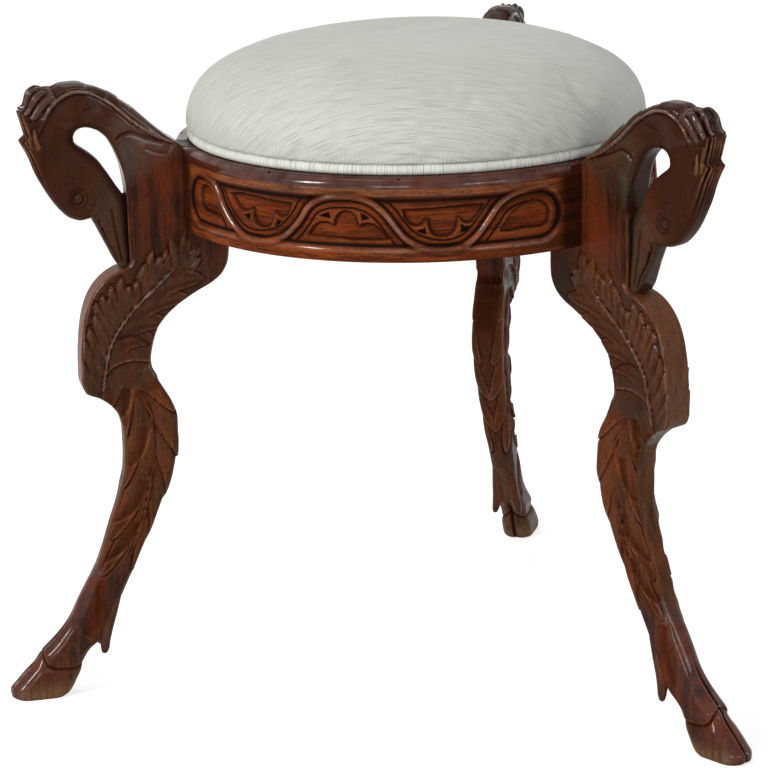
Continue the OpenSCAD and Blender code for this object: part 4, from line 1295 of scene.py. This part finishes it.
@dataclass
class CarvedRail:
    """One curved rail between two legs, with a sunk panel, a running vine and pointed tracery.

    Pitch is the spacing of the points on its face in millimetres.
    """

    name: str
    angle: float
    pitch: float = 0.62

    def carve(self, relief: Relief) -> None:
        """Cuts the sunk panel and its tracery into the rail's face."""
        above = relief.y - 400.5
        aside = np.abs(relief.x)
        d = np.hypot(np.maximum(aside - 146.0, 0), above * np.where(above > 0, 0.96, 1.0)) - 18.6
        sunk = ease(1.6, -1.6, d)
        relief.height -= 2.0 * sunk
        inner = ease(170.0, 154.0, aside)
        # Painted shade in a line just inside the panel's edge and over its sunk floor; the rail is also darker
        # towards both ends
        relief.wax_and_shade = np.clip(0.7 * bell(d + 2.3, 1.5) + 0.28 * sunk + 0.75 * (1 - inner), 0, 1)
        border = 0.75 * ease(2.0, 4.0, d) * ease(4.0, 20.0, above)
        # Painted highlight along the panel's bevel, and a paler top strip
        relief.wear_and_highlight = np.clip(0.9 * bell(d - 1.8, 1.2) + border, 0, 1) * inner
        shine = 0.01 + 0.5 * bell(d - 0.6, 1.4) * ease(-14.0, -17.0, above) + 0.25 * bell(d, 1.2)
        relief.gloss = np.clip(shine, 0, 1)
        for outline in PANEL_FIELDS:
            relief.sunk(outline, -4.8, 1.3, 0.8)
        for outline in PANEL_EYELETS:
            relief.sunk(outline, -5.4, 0.9, 0.9)
        self.carve_vine(relief, d)

    def carve_vine(self, relief: Relief, d: Array) -> None:
        """Lays the vine over the panel.

        Args:
            relief: the rail's face.
            d: distance of each point out from the panel's edge.
        """
        line = flowing(VINE, 300)
        pick, t, _, dist = relief.near(line, 11)
        show = ease(0.0, 0.06, t) * ease(1.0, 0.94, t)
        rise = np.abs(np.diff(line[:, 1]))
        length = np.diff(travelled(line))
        steep = np.interp(t, (np.cumsum(length) - length / 2) / length.sum(), rise / length)
        body = np.clip(1 - (dist / 2.4) ** 1.5, 0, 1)
        on = ease(2.5, 2.0, dist) * show
        within = ease(0.5, -2.5, d[pick])
        # Painted shade in the coves beside the vine and in the line along its band; a highlight is painted on
        # its crest
        cove = bell(dist - 3.7, 1.4) * (dist > 2.0) * show * (0.35 + 0.65 * within)
        level = relief.height[pick]
        relief.height[pick] = (level - 1.6 * cove) * (1 - on) + (-1.7 + 1.7 * body) * on
        dark = np.maximum(relief.wax_and_shade[pick], bell(dist - 3.2, 1.3) * show * (0.5 + 0.5 * within))
        relief.wax_and_shade[pick] = np.clip(dark * (1 - on), 0, 1)
        relief.wear_and_highlight[pick] = relief.wear_and_highlight[pick] * (1 - on) * (1 - 0.6 * cove) + 0.4 * on * body**3
        shine = (0.15 + 0.75 * ease(0.3, 0.7, steep)) * on
        relief.gloss[pick] = np.maximum(relief.gloss[pick] * (1 - cove), shine)
        band = bell(dist - 8.0, 0.8) * show * ease(-3.0, -4.5, d[pick]) * ease(-3.0, -2.4, level)
        relief.height[pick] -= 0.6 * band
        relief.wax_and_shade[pick] = np.clip(relief.wax_and_shade[pick] + 0.8 * band, 0, 1)

    def build(self, finishes: Finishes) -> None:
        """Makes the rail's mesh: a carved face, and plain top, bottom, back and ends."""
        reach = REACH * RAIL_FACE
        arc = np.linspace(-reach, reach, int(2 * reach / self.pitch) + 1)
        up = np.linspace(RAIL_LOW, RAIL_HIGH, int((RAIL_HIGH - RAIL_LOW) / self.pitch) + 1)
        x, z = np.meshgrid(arc, up, indexing="ij")
        relief = Relief(x.ravel(), z.ravel())
        self.carve(relief)
        edge = np.ones((len(arc), 1))
        out = np.hstack([RAIL_FACE + relief.height.reshape(x.shape), edge * RAIL_BACK, edge * RAIL_BACK])
        z = np.hstack([z, edge * RAIL_HIGH, edge * RAIL_LOW])
        tones = np.zeros((*z.shape, 4))
        tones[:, :-2] = relief.tones().reshape(*x.shape, 4)
        points = spun(out, between_legs(arc / reach, out, self.angle), z).reshape(-1, 3) * MM
        grain = stacked(out, z, arc[:, None]).reshape(-1, 3) * MM
        faces = tube_faces(*z.shape)
        obj = carved_piece(f"carved_{self.name}", points, faces, grain, tones.reshape(-1, 4), finishes.rail)
        settle(obj, "carved_wood", self.name)


@dataclass
class Moulding:
    """One strip of rounded moulding on a rail, with a square stop at each end.

    Stop is the length of an end stop, and width and height the size of the rounding, in millimetres.
    """

    name: str
    angle: float
    stop: float = 15.0
    steps: int = 14
    width: float = 9.0
    height: float = 6.5

    def build(self, finishes: Finishes) -> None:
        """Makes the strip's mesh."""
        quarter = np.linspace(0, math.pi / 2, self.steps)
        share = np.linspace(0, 2, self.steps)
        left, top = RAIL_FACE - self.width, FRAME_TOP
        size = np.array([self.width, -self.height])
        rounded = (left, top) + size * stacked(np.sin(quarter), 1 - np.cos(quarter))
        square = (left, top) + size * stacked(np.minimum(1, share), np.maximum(0, share - 1))
        stop = REACH - self.stop / RAIL_FACE
        ends = np.linspace(stop, REACH, 14)
        turns = np.unique(np.concatenate([np.linspace(-stop, stop, 240), ends, -ends]))
        past = (np.abs(turns) - stop) * RAIL_FACE
        mix = ease(0.0, 7.0, past)[:, None, None]
        edge = np.ones((len(turns), 1, 1))
        back = edge * [[RAIL_BACK, RAIL_HIGH], [RAIL_BACK, FRAME_TOP]]
        foot = edge * [[RAIL_FACE, RAIL_HIGH]]
        rows = np.concatenate([back, (1 - mix) * rounded + mix * square, foot], axis=1)
        out, up = rows[..., 0], rows[..., 1]
        dark = 0.38 + 0.2 * ease(-6.0, 0.0, past)[:, None]
        tones = stacked(dark, 0.6 * bell(up - 426.6, 0.5), 1.0, 0.0).reshape(-1, 4)
        points = spun(out, between_legs(turns / REACH, out, self.angle), up).reshape(-1, 3) * MM
        grain = stacked(out, up, (turns * RAIL_FACE)[:, None]).reshape(-1, 3) * MM
        faces = tube_faces(*up.shape)
        obj = carved_piece(f"rounded_{self.name}", points, faces, grain, tones, finishes.carved)
        settle(obj, "carved_wood", self.name)


# The stuffed seat

@dataclass
class StuffedSeat:
    """Velvet cover over its stuffing, the gathered welt round its foot and the tacks under it.

    Lengths are in millimetres. Low and high are the heights of the pad's widest ring and its crown, tuck the
    radius where the cover turns in under the pad, and drop how far that lies under low.
    """

    radius: float = 177.7
    low: float = 445.9
    high: float = 512.0
    tuck: float = 169.7
    drop: float = 4.4
    cover: float = 1.5
    around: int = 160
    rise: int = 34
    swell_limit: float = 1.3

    def outline(self, inset: float) -> Array:
        """Pad's profile (out, up) from the tuck to the crown."""
        foot = np.linspace(0, math.pi / 2, 6)[:-1]
        dome = np.linspace(0, math.pi / 2, self.rise)
        low = self.low + inset
        tucked = self.tuck - inset + (self.radius - self.tuck) * np.sin(foot) ** 0.6
        domed = (self.radius - inset) * np.cos(dome) ** (2 / 2.41)
        under = low - self.drop * np.cos(foot) ** 0.6
        over = low + (self.high - low - inset) * np.sin(dome) ** (2 / 2.47)
        return stacked(np.append(tucked, domed), np.append(under, over))

    def rings(self, profile: Array, around: int) -> Array:
        """Points of revolution in metres, one row of points per row of the profile."""
        return spun(profile[:, 0:1], circle(around), profile[:, 1:2]) * MM

    def close(self, name: str, grid: Array, ends: list[float]) -> Object:
        """Closed solid from rings of points and the heights of its two ends on the axis."""
        rows, around = grid.shape[:2]
        faces = tube_faces(rows, around)[:-2]
        first = rows * around
        for k in range(around):
            m = (k + 1) % around
            faces.append((first, m, k))
            faces.append((first + 1, first - around + k, first - around + m))
        obj = new_mesh(name, np.vstack([grid.reshape(-1, 3), *((0, 0, end) for end in ends)]), faces)
        outward(obj)
        return obj

    def swollen(self, grid: Array) -> Array:
        """Blows the pad up as cloth that is held at the welt, and gives its points.

        Args:
            grid: rings of points from the tuck to just under the crown, in metres.

        Returns:
            The points, with the cloth's own unevenness added to the pad's profile, up to a limit.
        """
        low = self.low * MM
        start = grid.copy()
        start[2:, :, :2] *= 0.985
        start[2:, :, 2] = low + (start[2:, :, 2] - low) * 0.975
        obj = self.close("pad_in_cloth", start, [low, start[-1, 0, 2]])
        points = grid.shape[0] * self.around
        held = obj.vertex_groups.new(name="held")
        held.add([*range(2 * self.around), points], 1.0, "REPLACE")
        settings = obj.modifiers.new("swell", "CLOTH").settings
        settings.quality = 6
        settings.tension_stiffness = 12.0
        settings.compression_stiffness = 12.0
        settings.bending_stiffness = 0.4
        settings.use_pressure = True
        settings.uniform_pressure_force = 4.0
        settings.effector_weights.gravity = 0.0
        settings.vertex_group_mass = "held"
        scene = bpy.context.scene
        for now in range(1, 21):
            scene.frame_set(now)
        solved = obj.evaluated_get(bpy.context.evaluated_depsgraph_get()).data
        moved = read_points(solved)[:points].reshape(grid.shape)
        scene.frame_set(1)
        bpy.data.objects.remove(obj)
        base = np.linalg.norm(grid[:, :, :2], axis=-1)
        shift = np.stack([np.linalg.norm(moved[:, :, :2], axis=-1) - base, moved[:, :, 2] - grid[:, :, 2]])
        limit = self.swell_limit * MM
        out, up = limit * np.tanh((shift - shift.mean(axis=2, keepdims=True)) / limit)
        result = grid.copy()
        result[:, :, :2] *= (1 + out / base)[:, :, None]
        result[:, :, 2] += up
        return result

    def finer(self, grid: Array) -> Array:
        """Twice as many rings, and twice as many points on each, on smooth curves through the old ones."""
        across = (9 * (grid + np.roll(grid, -1, 1)) - np.roll(grid, 1, 1) - np.roll(grid, -2, 1)) / 16
        wide = np.stack([grid, across], axis=2).reshape(grid.shape[0], -1, 3)
        padded = np.concatenate([2 * wide[:1] - wide[1:2], wide, 2 * wide[-1:] - wide[-2:-1]])
        tall = np.empty((2 * len(wide) - 1, *wide.shape[1:]))
        tall[0::2] = wide
        tall[1::2] = (9 * (padded[1:-2] + padded[2:-1]) - padded[:-3] - padded[3:]) / 16
        return tall

    def build_cover(self, finishes: Finishes) -> None:
        """Makes the velvet cover: its outside, its inside and the part turned in under the pad."""
        profile = self.outline(0.0)[:-1]
        grid = self.rings(profile, self.around)
        turn = circle(self.around)
        sag = 0.5 * np.cos(3 * turn + 0.6) + 0.4 * np.cos(5 * turn + 2.1) + 0.3 * np.cos(8 * turn + 4.0)
        hang = ease(self.low, self.low + 20, profile[:, 1]) * ease(self.high, self.high - 22, profile[:, 1])
        grid[:, :, :2] *= 1 - 0.0022 * hang[:, None, None] * (1 + sag[None, :, None] / 1.2)
        grid = self.swollen(grid)
        skin = self.finer(grid)
        out = np.linalg.norm(skin[:, :, :2], axis=-1, keepdims=True)
        slope = np.gradient(skin[:, :, 2:], axis=0)
        run = np.gradient(out, axis=0)
        length = np.maximum(np.hypot(slope, run), 1e-9)
        ring = skin[:, :, :2] / np.maximum(out, 1e-9)
        inside = skin - np.concatenate([ring * slope / length, -run / length], axis=-1) * self.cover * MM
        lip = [(self.tuck - 1.5, 435.5), (152.0, 435.5), (152.0, FRAME_TOP), (self.tuck, FRAME_TOP)]
        turned = self.rings(np.array(lip), skin.shape[1])
        shell = np.concatenate([skin[::-1], turned[::-1], inside])
        obj = self.close("velvet_cover", shell, [skin[-1, 0, 2] + 0.0001, inside[-1, 0, 2] + 0.0001])
        arc = travelled(skin[::-1, 0])
        far = np.concatenate([arc, arc[-1] + np.array([0.008, 0.009, 0.025, 0.026]), arc[::-1]])
        flat = spun(far[:, None], circle(skin.shape[1]), 0.0)
        add_field(obj, "cloth", np.vstack([flat.reshape(-1, 3), np.zeros((2, 3))]))
        obj.data.materials.append(finishes.velvet)
        settle(obj, "velvet", "seat_cover")

    def build_stuffing(self, finishes: Finishes) -> None:
        """Makes the lumpy stuffing under the cover."""
        inset = self.cover + 2.8
        profile = self.outline(inset)
        profile = profile[(profile[:, 1] > self.low + inset) & (profile[:, 0] > 1.0)]
        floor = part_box("stuffing")[0][2] / MM
        grid = self.rings(np.vstack([(90.0, floor), (169.0, floor), (169.5, 447.6), profile]), 120)
        x, y, z = (grid[:, :, k] * 55 for k in range(3))
        lumps = 0.5 + 0.25 * (np.sin(3 * x + 2 * np.sin(2 * y)) + np.sin(3.4 * y + 2 * np.sin(1.7 * x) + z))
        grid[3:, :, :2] *= 1 - 0.006 * lumps[3:, :, None]
        grid[3:, :, 2] -= 0.0016 * lumps[3:]
        obj = self.close("wadding_pad", grid, [floor * MM, grid[-1, 0, 2]])
        obj.data.materials.append(finishes.wadding)
        settle(obj, "wadding", "stuffing")

    def build_welt(self, finishes: Finishes) -> None:
        """Makes the gathered cord round the foot of the pad."""
        sizes = {"Radius": 0.174, "Height": 0.4380, "Thickness": 0.0078, "Gathers": 560, "Depth": 0.00011}
        values = {**sizes, "Cloth": finishes.welt}
        obj = grown("gathered_welt", np.zeros((1, 3)), gathered_cord_tree(), values)
        x, y, z = read_points(obj.data).T
        add_field(obj, "cloth", stacked(z, np.arctan2(y, x) * 0.178, 0.0))
        settle(obj, "velvet", "welt")

    def build_tacks(self, finishes: Finishes) -> None:
        """Makes the tacks that hold the turned-in cover on the ring."""
        turn = math.radians(90) + FULL_TURN * (np.arange(24) + 0.5) / 24
        values = {"Head": 0.003, "Dome": 0.0009, "Shank": 0.010, "Metal": finishes.steel}
        settle(grown("domed_tacks", spun(0.1547, turn, 0.4340), stud_tree(), values), "steel", "cover_tacks")

    def build(self, finishes: Finishes) -> None:
        """Makes the cover, the stuffing, the welt and the tacks."""
        self.build_cover(finishes)
        self.build_stuffing(finishes)
        self.build_welt(finishes)
        self.build_tacks(finishes)


# Pieces that repeat or follow a path, grown by Geometry Nodes

def grown(name: str, points: Array, tree: Tree, values: dict[str, object]) -> Object:
    """Plain mesh grown from points by a Geometry Nodes tree.

    Args:
        name: name of the object.
        points: where the tree starts from, in metres.
        tree: the tree.
        values: value of each named input.

    Returns:
        The object, with no modifier left on it.
    """
    seed = new_mesh(f"{name}_seed", points, [])
    growth = seed.modifiers.new("growth", "NODES")
    growth.node_group = tree
    for item in tree.interface.items_tree:
        if item.item_type == "SOCKET" and item.in_out == "INPUT" and item.name in values:
            growth[item.identifier] = values[item.name]
    seed.update_tag()
    solved = seed.evaluated_get(bpy.context.evaluated_depsgraph_get())
    mesh = bpy.data.meshes.new_from_object(solved)
    bpy.data.objects.remove(seed)
    mesh.name = name
    mesh.polygons.foreach_set("use_smooth", [True] * len(mesh.polygons))
    obj = linked(name, mesh)
    outward(obj)
    return obj


def gathered_cord_tree() -> Tree:
    """Ring of covered cord whose cloth is gathered into many small pleats."""
    sizes = {"Radius": "Float", "Height": "Float", "Thickness": "Float", "Gathers": "Int", "Depth": "Float"}
    g, given, result = new_tree(
        "GatheredCord",
        "GeometryNodeTree",
        {"Geometry": "Geometry", **sizes, "Cloth": "Material"},
        {"Geometry": "Geometry"},
    )
    circle_kind = "GeometryNodeCurvePrimitiveCircle"
    ring = g.add(circle_kind, {"Resolution": g.times(given["Gathers"], 6.0), "Radius": given["Radius"]})
    section = g.add(circle_kind, {"Resolution": 14, "Radius": g.times(given["Thickness"], 0.5)})
    tube = g.add("GeometryNodeCurveToMesh", {"Curve": ring, "Profile Curve": section})
    x, y, _ = g.split(g.add("GeometryNodeInputPosition"))
    angle = g.maths("ARCTAN2", y, x)
    uneven = g.times(g.maths("SINE", g.times(angle, 37.0)), 0.9)
    pleat = g.maths("SINE", g.plus(g.times(angle, given["Gathers"]), uneven))
    push = g.scaled(g.add("GeometryNodeInputNormal"), g.times(pleat, given["Depth"]))
    lift = g.add("ShaderNodeCombineXYZ", {2: given["Height"]})
    offset = g.add("ShaderNodeVectorMath", {0: push, 1: lift}, operation="ADD")
    placed = g.add("GeometryNodeSetPosition", {"Geometry": tube, "Offset": offset})
    dressed = g.add("GeometryNodeSetMaterial", {"Geometry": placed, "Material": given["Cloth"]})
    g.wire(result, {"Geometry": dressed})
    return g.tree


def stud_tree() -> Tree:
    """Small domed head with its shank on every point."""
    g, given, result = new_tree(
        "Studs",
        "GeometryNodeTree",
        {"Geometry": "Geometry", "Head": "Float", "Dome": "Float", "Shank": "Float", "Metal": "Material"},
        {"Geometry": "Geometry"},
    )
    ball = g.add("GeometryNodeMeshUVSphere", {"Segments": 16, "Rings": 8, "Radius": 1.0})
    size = g.add("ShaderNodeCombineXYZ", {0: given["Head"], 1: given["Head"], 2: given["Dome"]})
    radius = g.times(given["Head"], 0.35)
    rod = g.add("GeometryNodeMeshCylinder", {"Vertices": 10, "Radius": radius, "Depth": given["Shank"]})
    up = g.add("ShaderNodeCombineXYZ", {2: g.times(given["Shank"], 0.5)})
    both = g.add("GeometryNodeJoinGeometry")
    g.feed(g.add("GeometryNodeTransform", {"Geometry": ball, "Scale": size}), both.inputs[0])
    g.feed(g.add("GeometryNodeTransform", {"Geometry": rod, "Translation": up}), both.inputs[0])
    spread = g.add("GeometryNodeInstanceOnPoints", {"Points": given["Geometry"], "Instance": both})
    real = g.add("GeometryNodeRealizeInstances", {0: spread})
    dressed = g.add("GeometryNodeSetMaterial", {"Geometry": real, "Material": given["Metal"]})
    g.wire(result, {"Geometry": dressed})
    return g.tree


def build_plugs(finishes: Finishes) -> None:
    """Makes the wax that fills the nail holes in the moulding."""
    turn = np.radians([middle + first for middle in RAIL_ANGLES.values() for first in (-52, -20, 12, 44)])
    values = {"Head": 0.0015, "Dome": 0.0004, "Shank": 0.0002, "Metal": finishes.plug}
    obj = grown("nail_hole_wax", spun(0.1826, turn, 0.4330), stud_tree(), values)
    settle(obj, "carved_wood")


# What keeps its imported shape

def dress_hidden_parts(finishes: Finishes) -> None:
    """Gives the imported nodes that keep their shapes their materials."""
    table = {f"corner_block_{key}": finishes.plain for key in LEG_ANGLES}
    table.update(dict.fromkeys(("leg_dowels", "seat_ring"), finishes.plain))
    table.update(dict.fromkeys(("block_screws", "seat_screws", "moulding_brads"), finishes.steel))
    table.update({"webbing": finishes.strap, "hessian": finishes.hessian, "dust_cover": finishes.black})
    for name, material in table.items():
        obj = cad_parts[name]
        if not obj.material_slots:
            obj.data.materials.append(material)
        for slot in obj.material_slots:
            slot.material = material
        log.info("%s: finish only", name)


# Floor, light and camera

@dataclass
class Studio:
    """White floor and sky, soft lamps, and the camera where the photographer stood. Angles are in degrees."""

    lens: float = 142.8
    shift: float = -0.034
    place: tuple[float, float, float] = (0.650, -2.2337, 0.893)
    pitch: float = 15.96
    yaw: float = -0.22
    roll: float = -1.265
    turn: float = 16.23
    floor_size: float = 6.0

    def camera(self) -> None:
        """Places the camera."""
        data = bpy.data.cameras.new("camera")
        data.lens = self.lens
        data.sensor_width = 36.0
        data.shift_x = self.shift
        data.clip_end = 30.0
        obj = linked("camera", data)
        p, w, r = (math.radians(v) for v in (self.pitch, self.yaw, self.roll))
        ahead = Vector((math.sin(w) * math.cos(p), math.cos(w) * math.cos(p), -math.sin(p)))
        right = Vector((math.cos(w), -math.sin(w), 0.0))
        up = right.cross(ahead)
        rolled = (math.cos(r) * right + math.sin(r) * up, math.cos(r) * up - math.sin(r) * right)
        basis = Matrix((*rolled, -ahead)).transposed().to_4x4()
        spin = Matrix.Rotation(math.radians(self.turn), 4, "Z")
        obj.matrix_world = Matrix.Translation(self.place) @ (spin @ basis)
        bpy.context.scene.camera = obj

    def floor(self) -> None:
        """Lays the floor."""
        corners = self.floor_size * np.array([(-1, -1, 0), (1, -1, 0), (1, 1, 0), (-1, 1, 0)])
        obj = new_mesh("floor", corners, [(0, 1, 2, 3)])
        material, g, shader = new_material("white_floor")
        g.wire(shader, {
            "Base Color": Tint.FLOOR,
            "Roughness": 0.7,
            "Specular IOR Level": 0.1,
            "Emission Color": Tint.WHITE,
            "Emission Strength": g.times(g.seen(), 0.66),
        })
        obj.data.materials.append(material)

    def world(self) -> None:
        """Pale sky that the camera sees as white."""
        world = bpy.data.worlds.new("pale_sky")
        bpy.context.scene.world = world
        world.use_nodes = True
        g = Graph(world.node_tree)
        strength = g.remap(g.seen(), 0.0, 1.0, 0.5, 1.0)
        g.wire(world.node_tree.nodes["Background"], {"Strength": strength, "Color": Tint.WHITE})

    def lamp(self, name: str, place: Vector, size: tuple[float, float], power: float) -> None:
        """Adds one soft lamp, wide and tall as given, that faces the stool."""
        data = bpy.data.lights.new(name, "AREA")
        data.shape = "RECTANGLE"
        data.size, data.size_y = size
        data.energy = power
        obj = linked(name, data)
        way = Vector((0, 0, 0.3)) - place
        obj.rotation_euler = way.to_track_quat("-Z", "Y").to_euler()
        obj.location = place

    def build(self) -> None:
        """Sets up everything round the stool."""
        self.camera()
        self.floor()
        self.world()
        self.lamp("key", Vector((-1.4, -1.9, 1.6)), (0.35, 0.9), 40)
        self.lamp("fill", Vector((1.8, -1.7, 1.0)), (0.8, 0.8), 11)
        self.lamp("front", Vector((0.2, -2.5, 0.7)), (0.7, 0.7), 9)
        self.lamp("top", Vector((-0.4, 0.5, 2.1)), (0.8, 0.8), 5)
        bpy.context.scene.view_settings.view_transform = "Standard"


def main() -> None:
    """Builds the stool piece by piece."""
    logging.basicConfig(level=logging.INFO, format="%(name)s: %(message)s")
    finishes = Finishes()
    Studio().build()
    for key, angle in LEG_ANGLES.items():
        CarvedLeg(f"leg_{key}", angle).build(finishes)
    for key, angle in RAIL_ANGLES.items():
        CarvedRail(f"apron_{key}", angle).build(finishes)
        Moulding(f"moulding_{key}", angle).build(finishes)
    StuffedSeat().build(finishes)
    build_plugs(finishes)
    dress_hidden_parts(finishes)


if __name__ == "__main__":
    main()
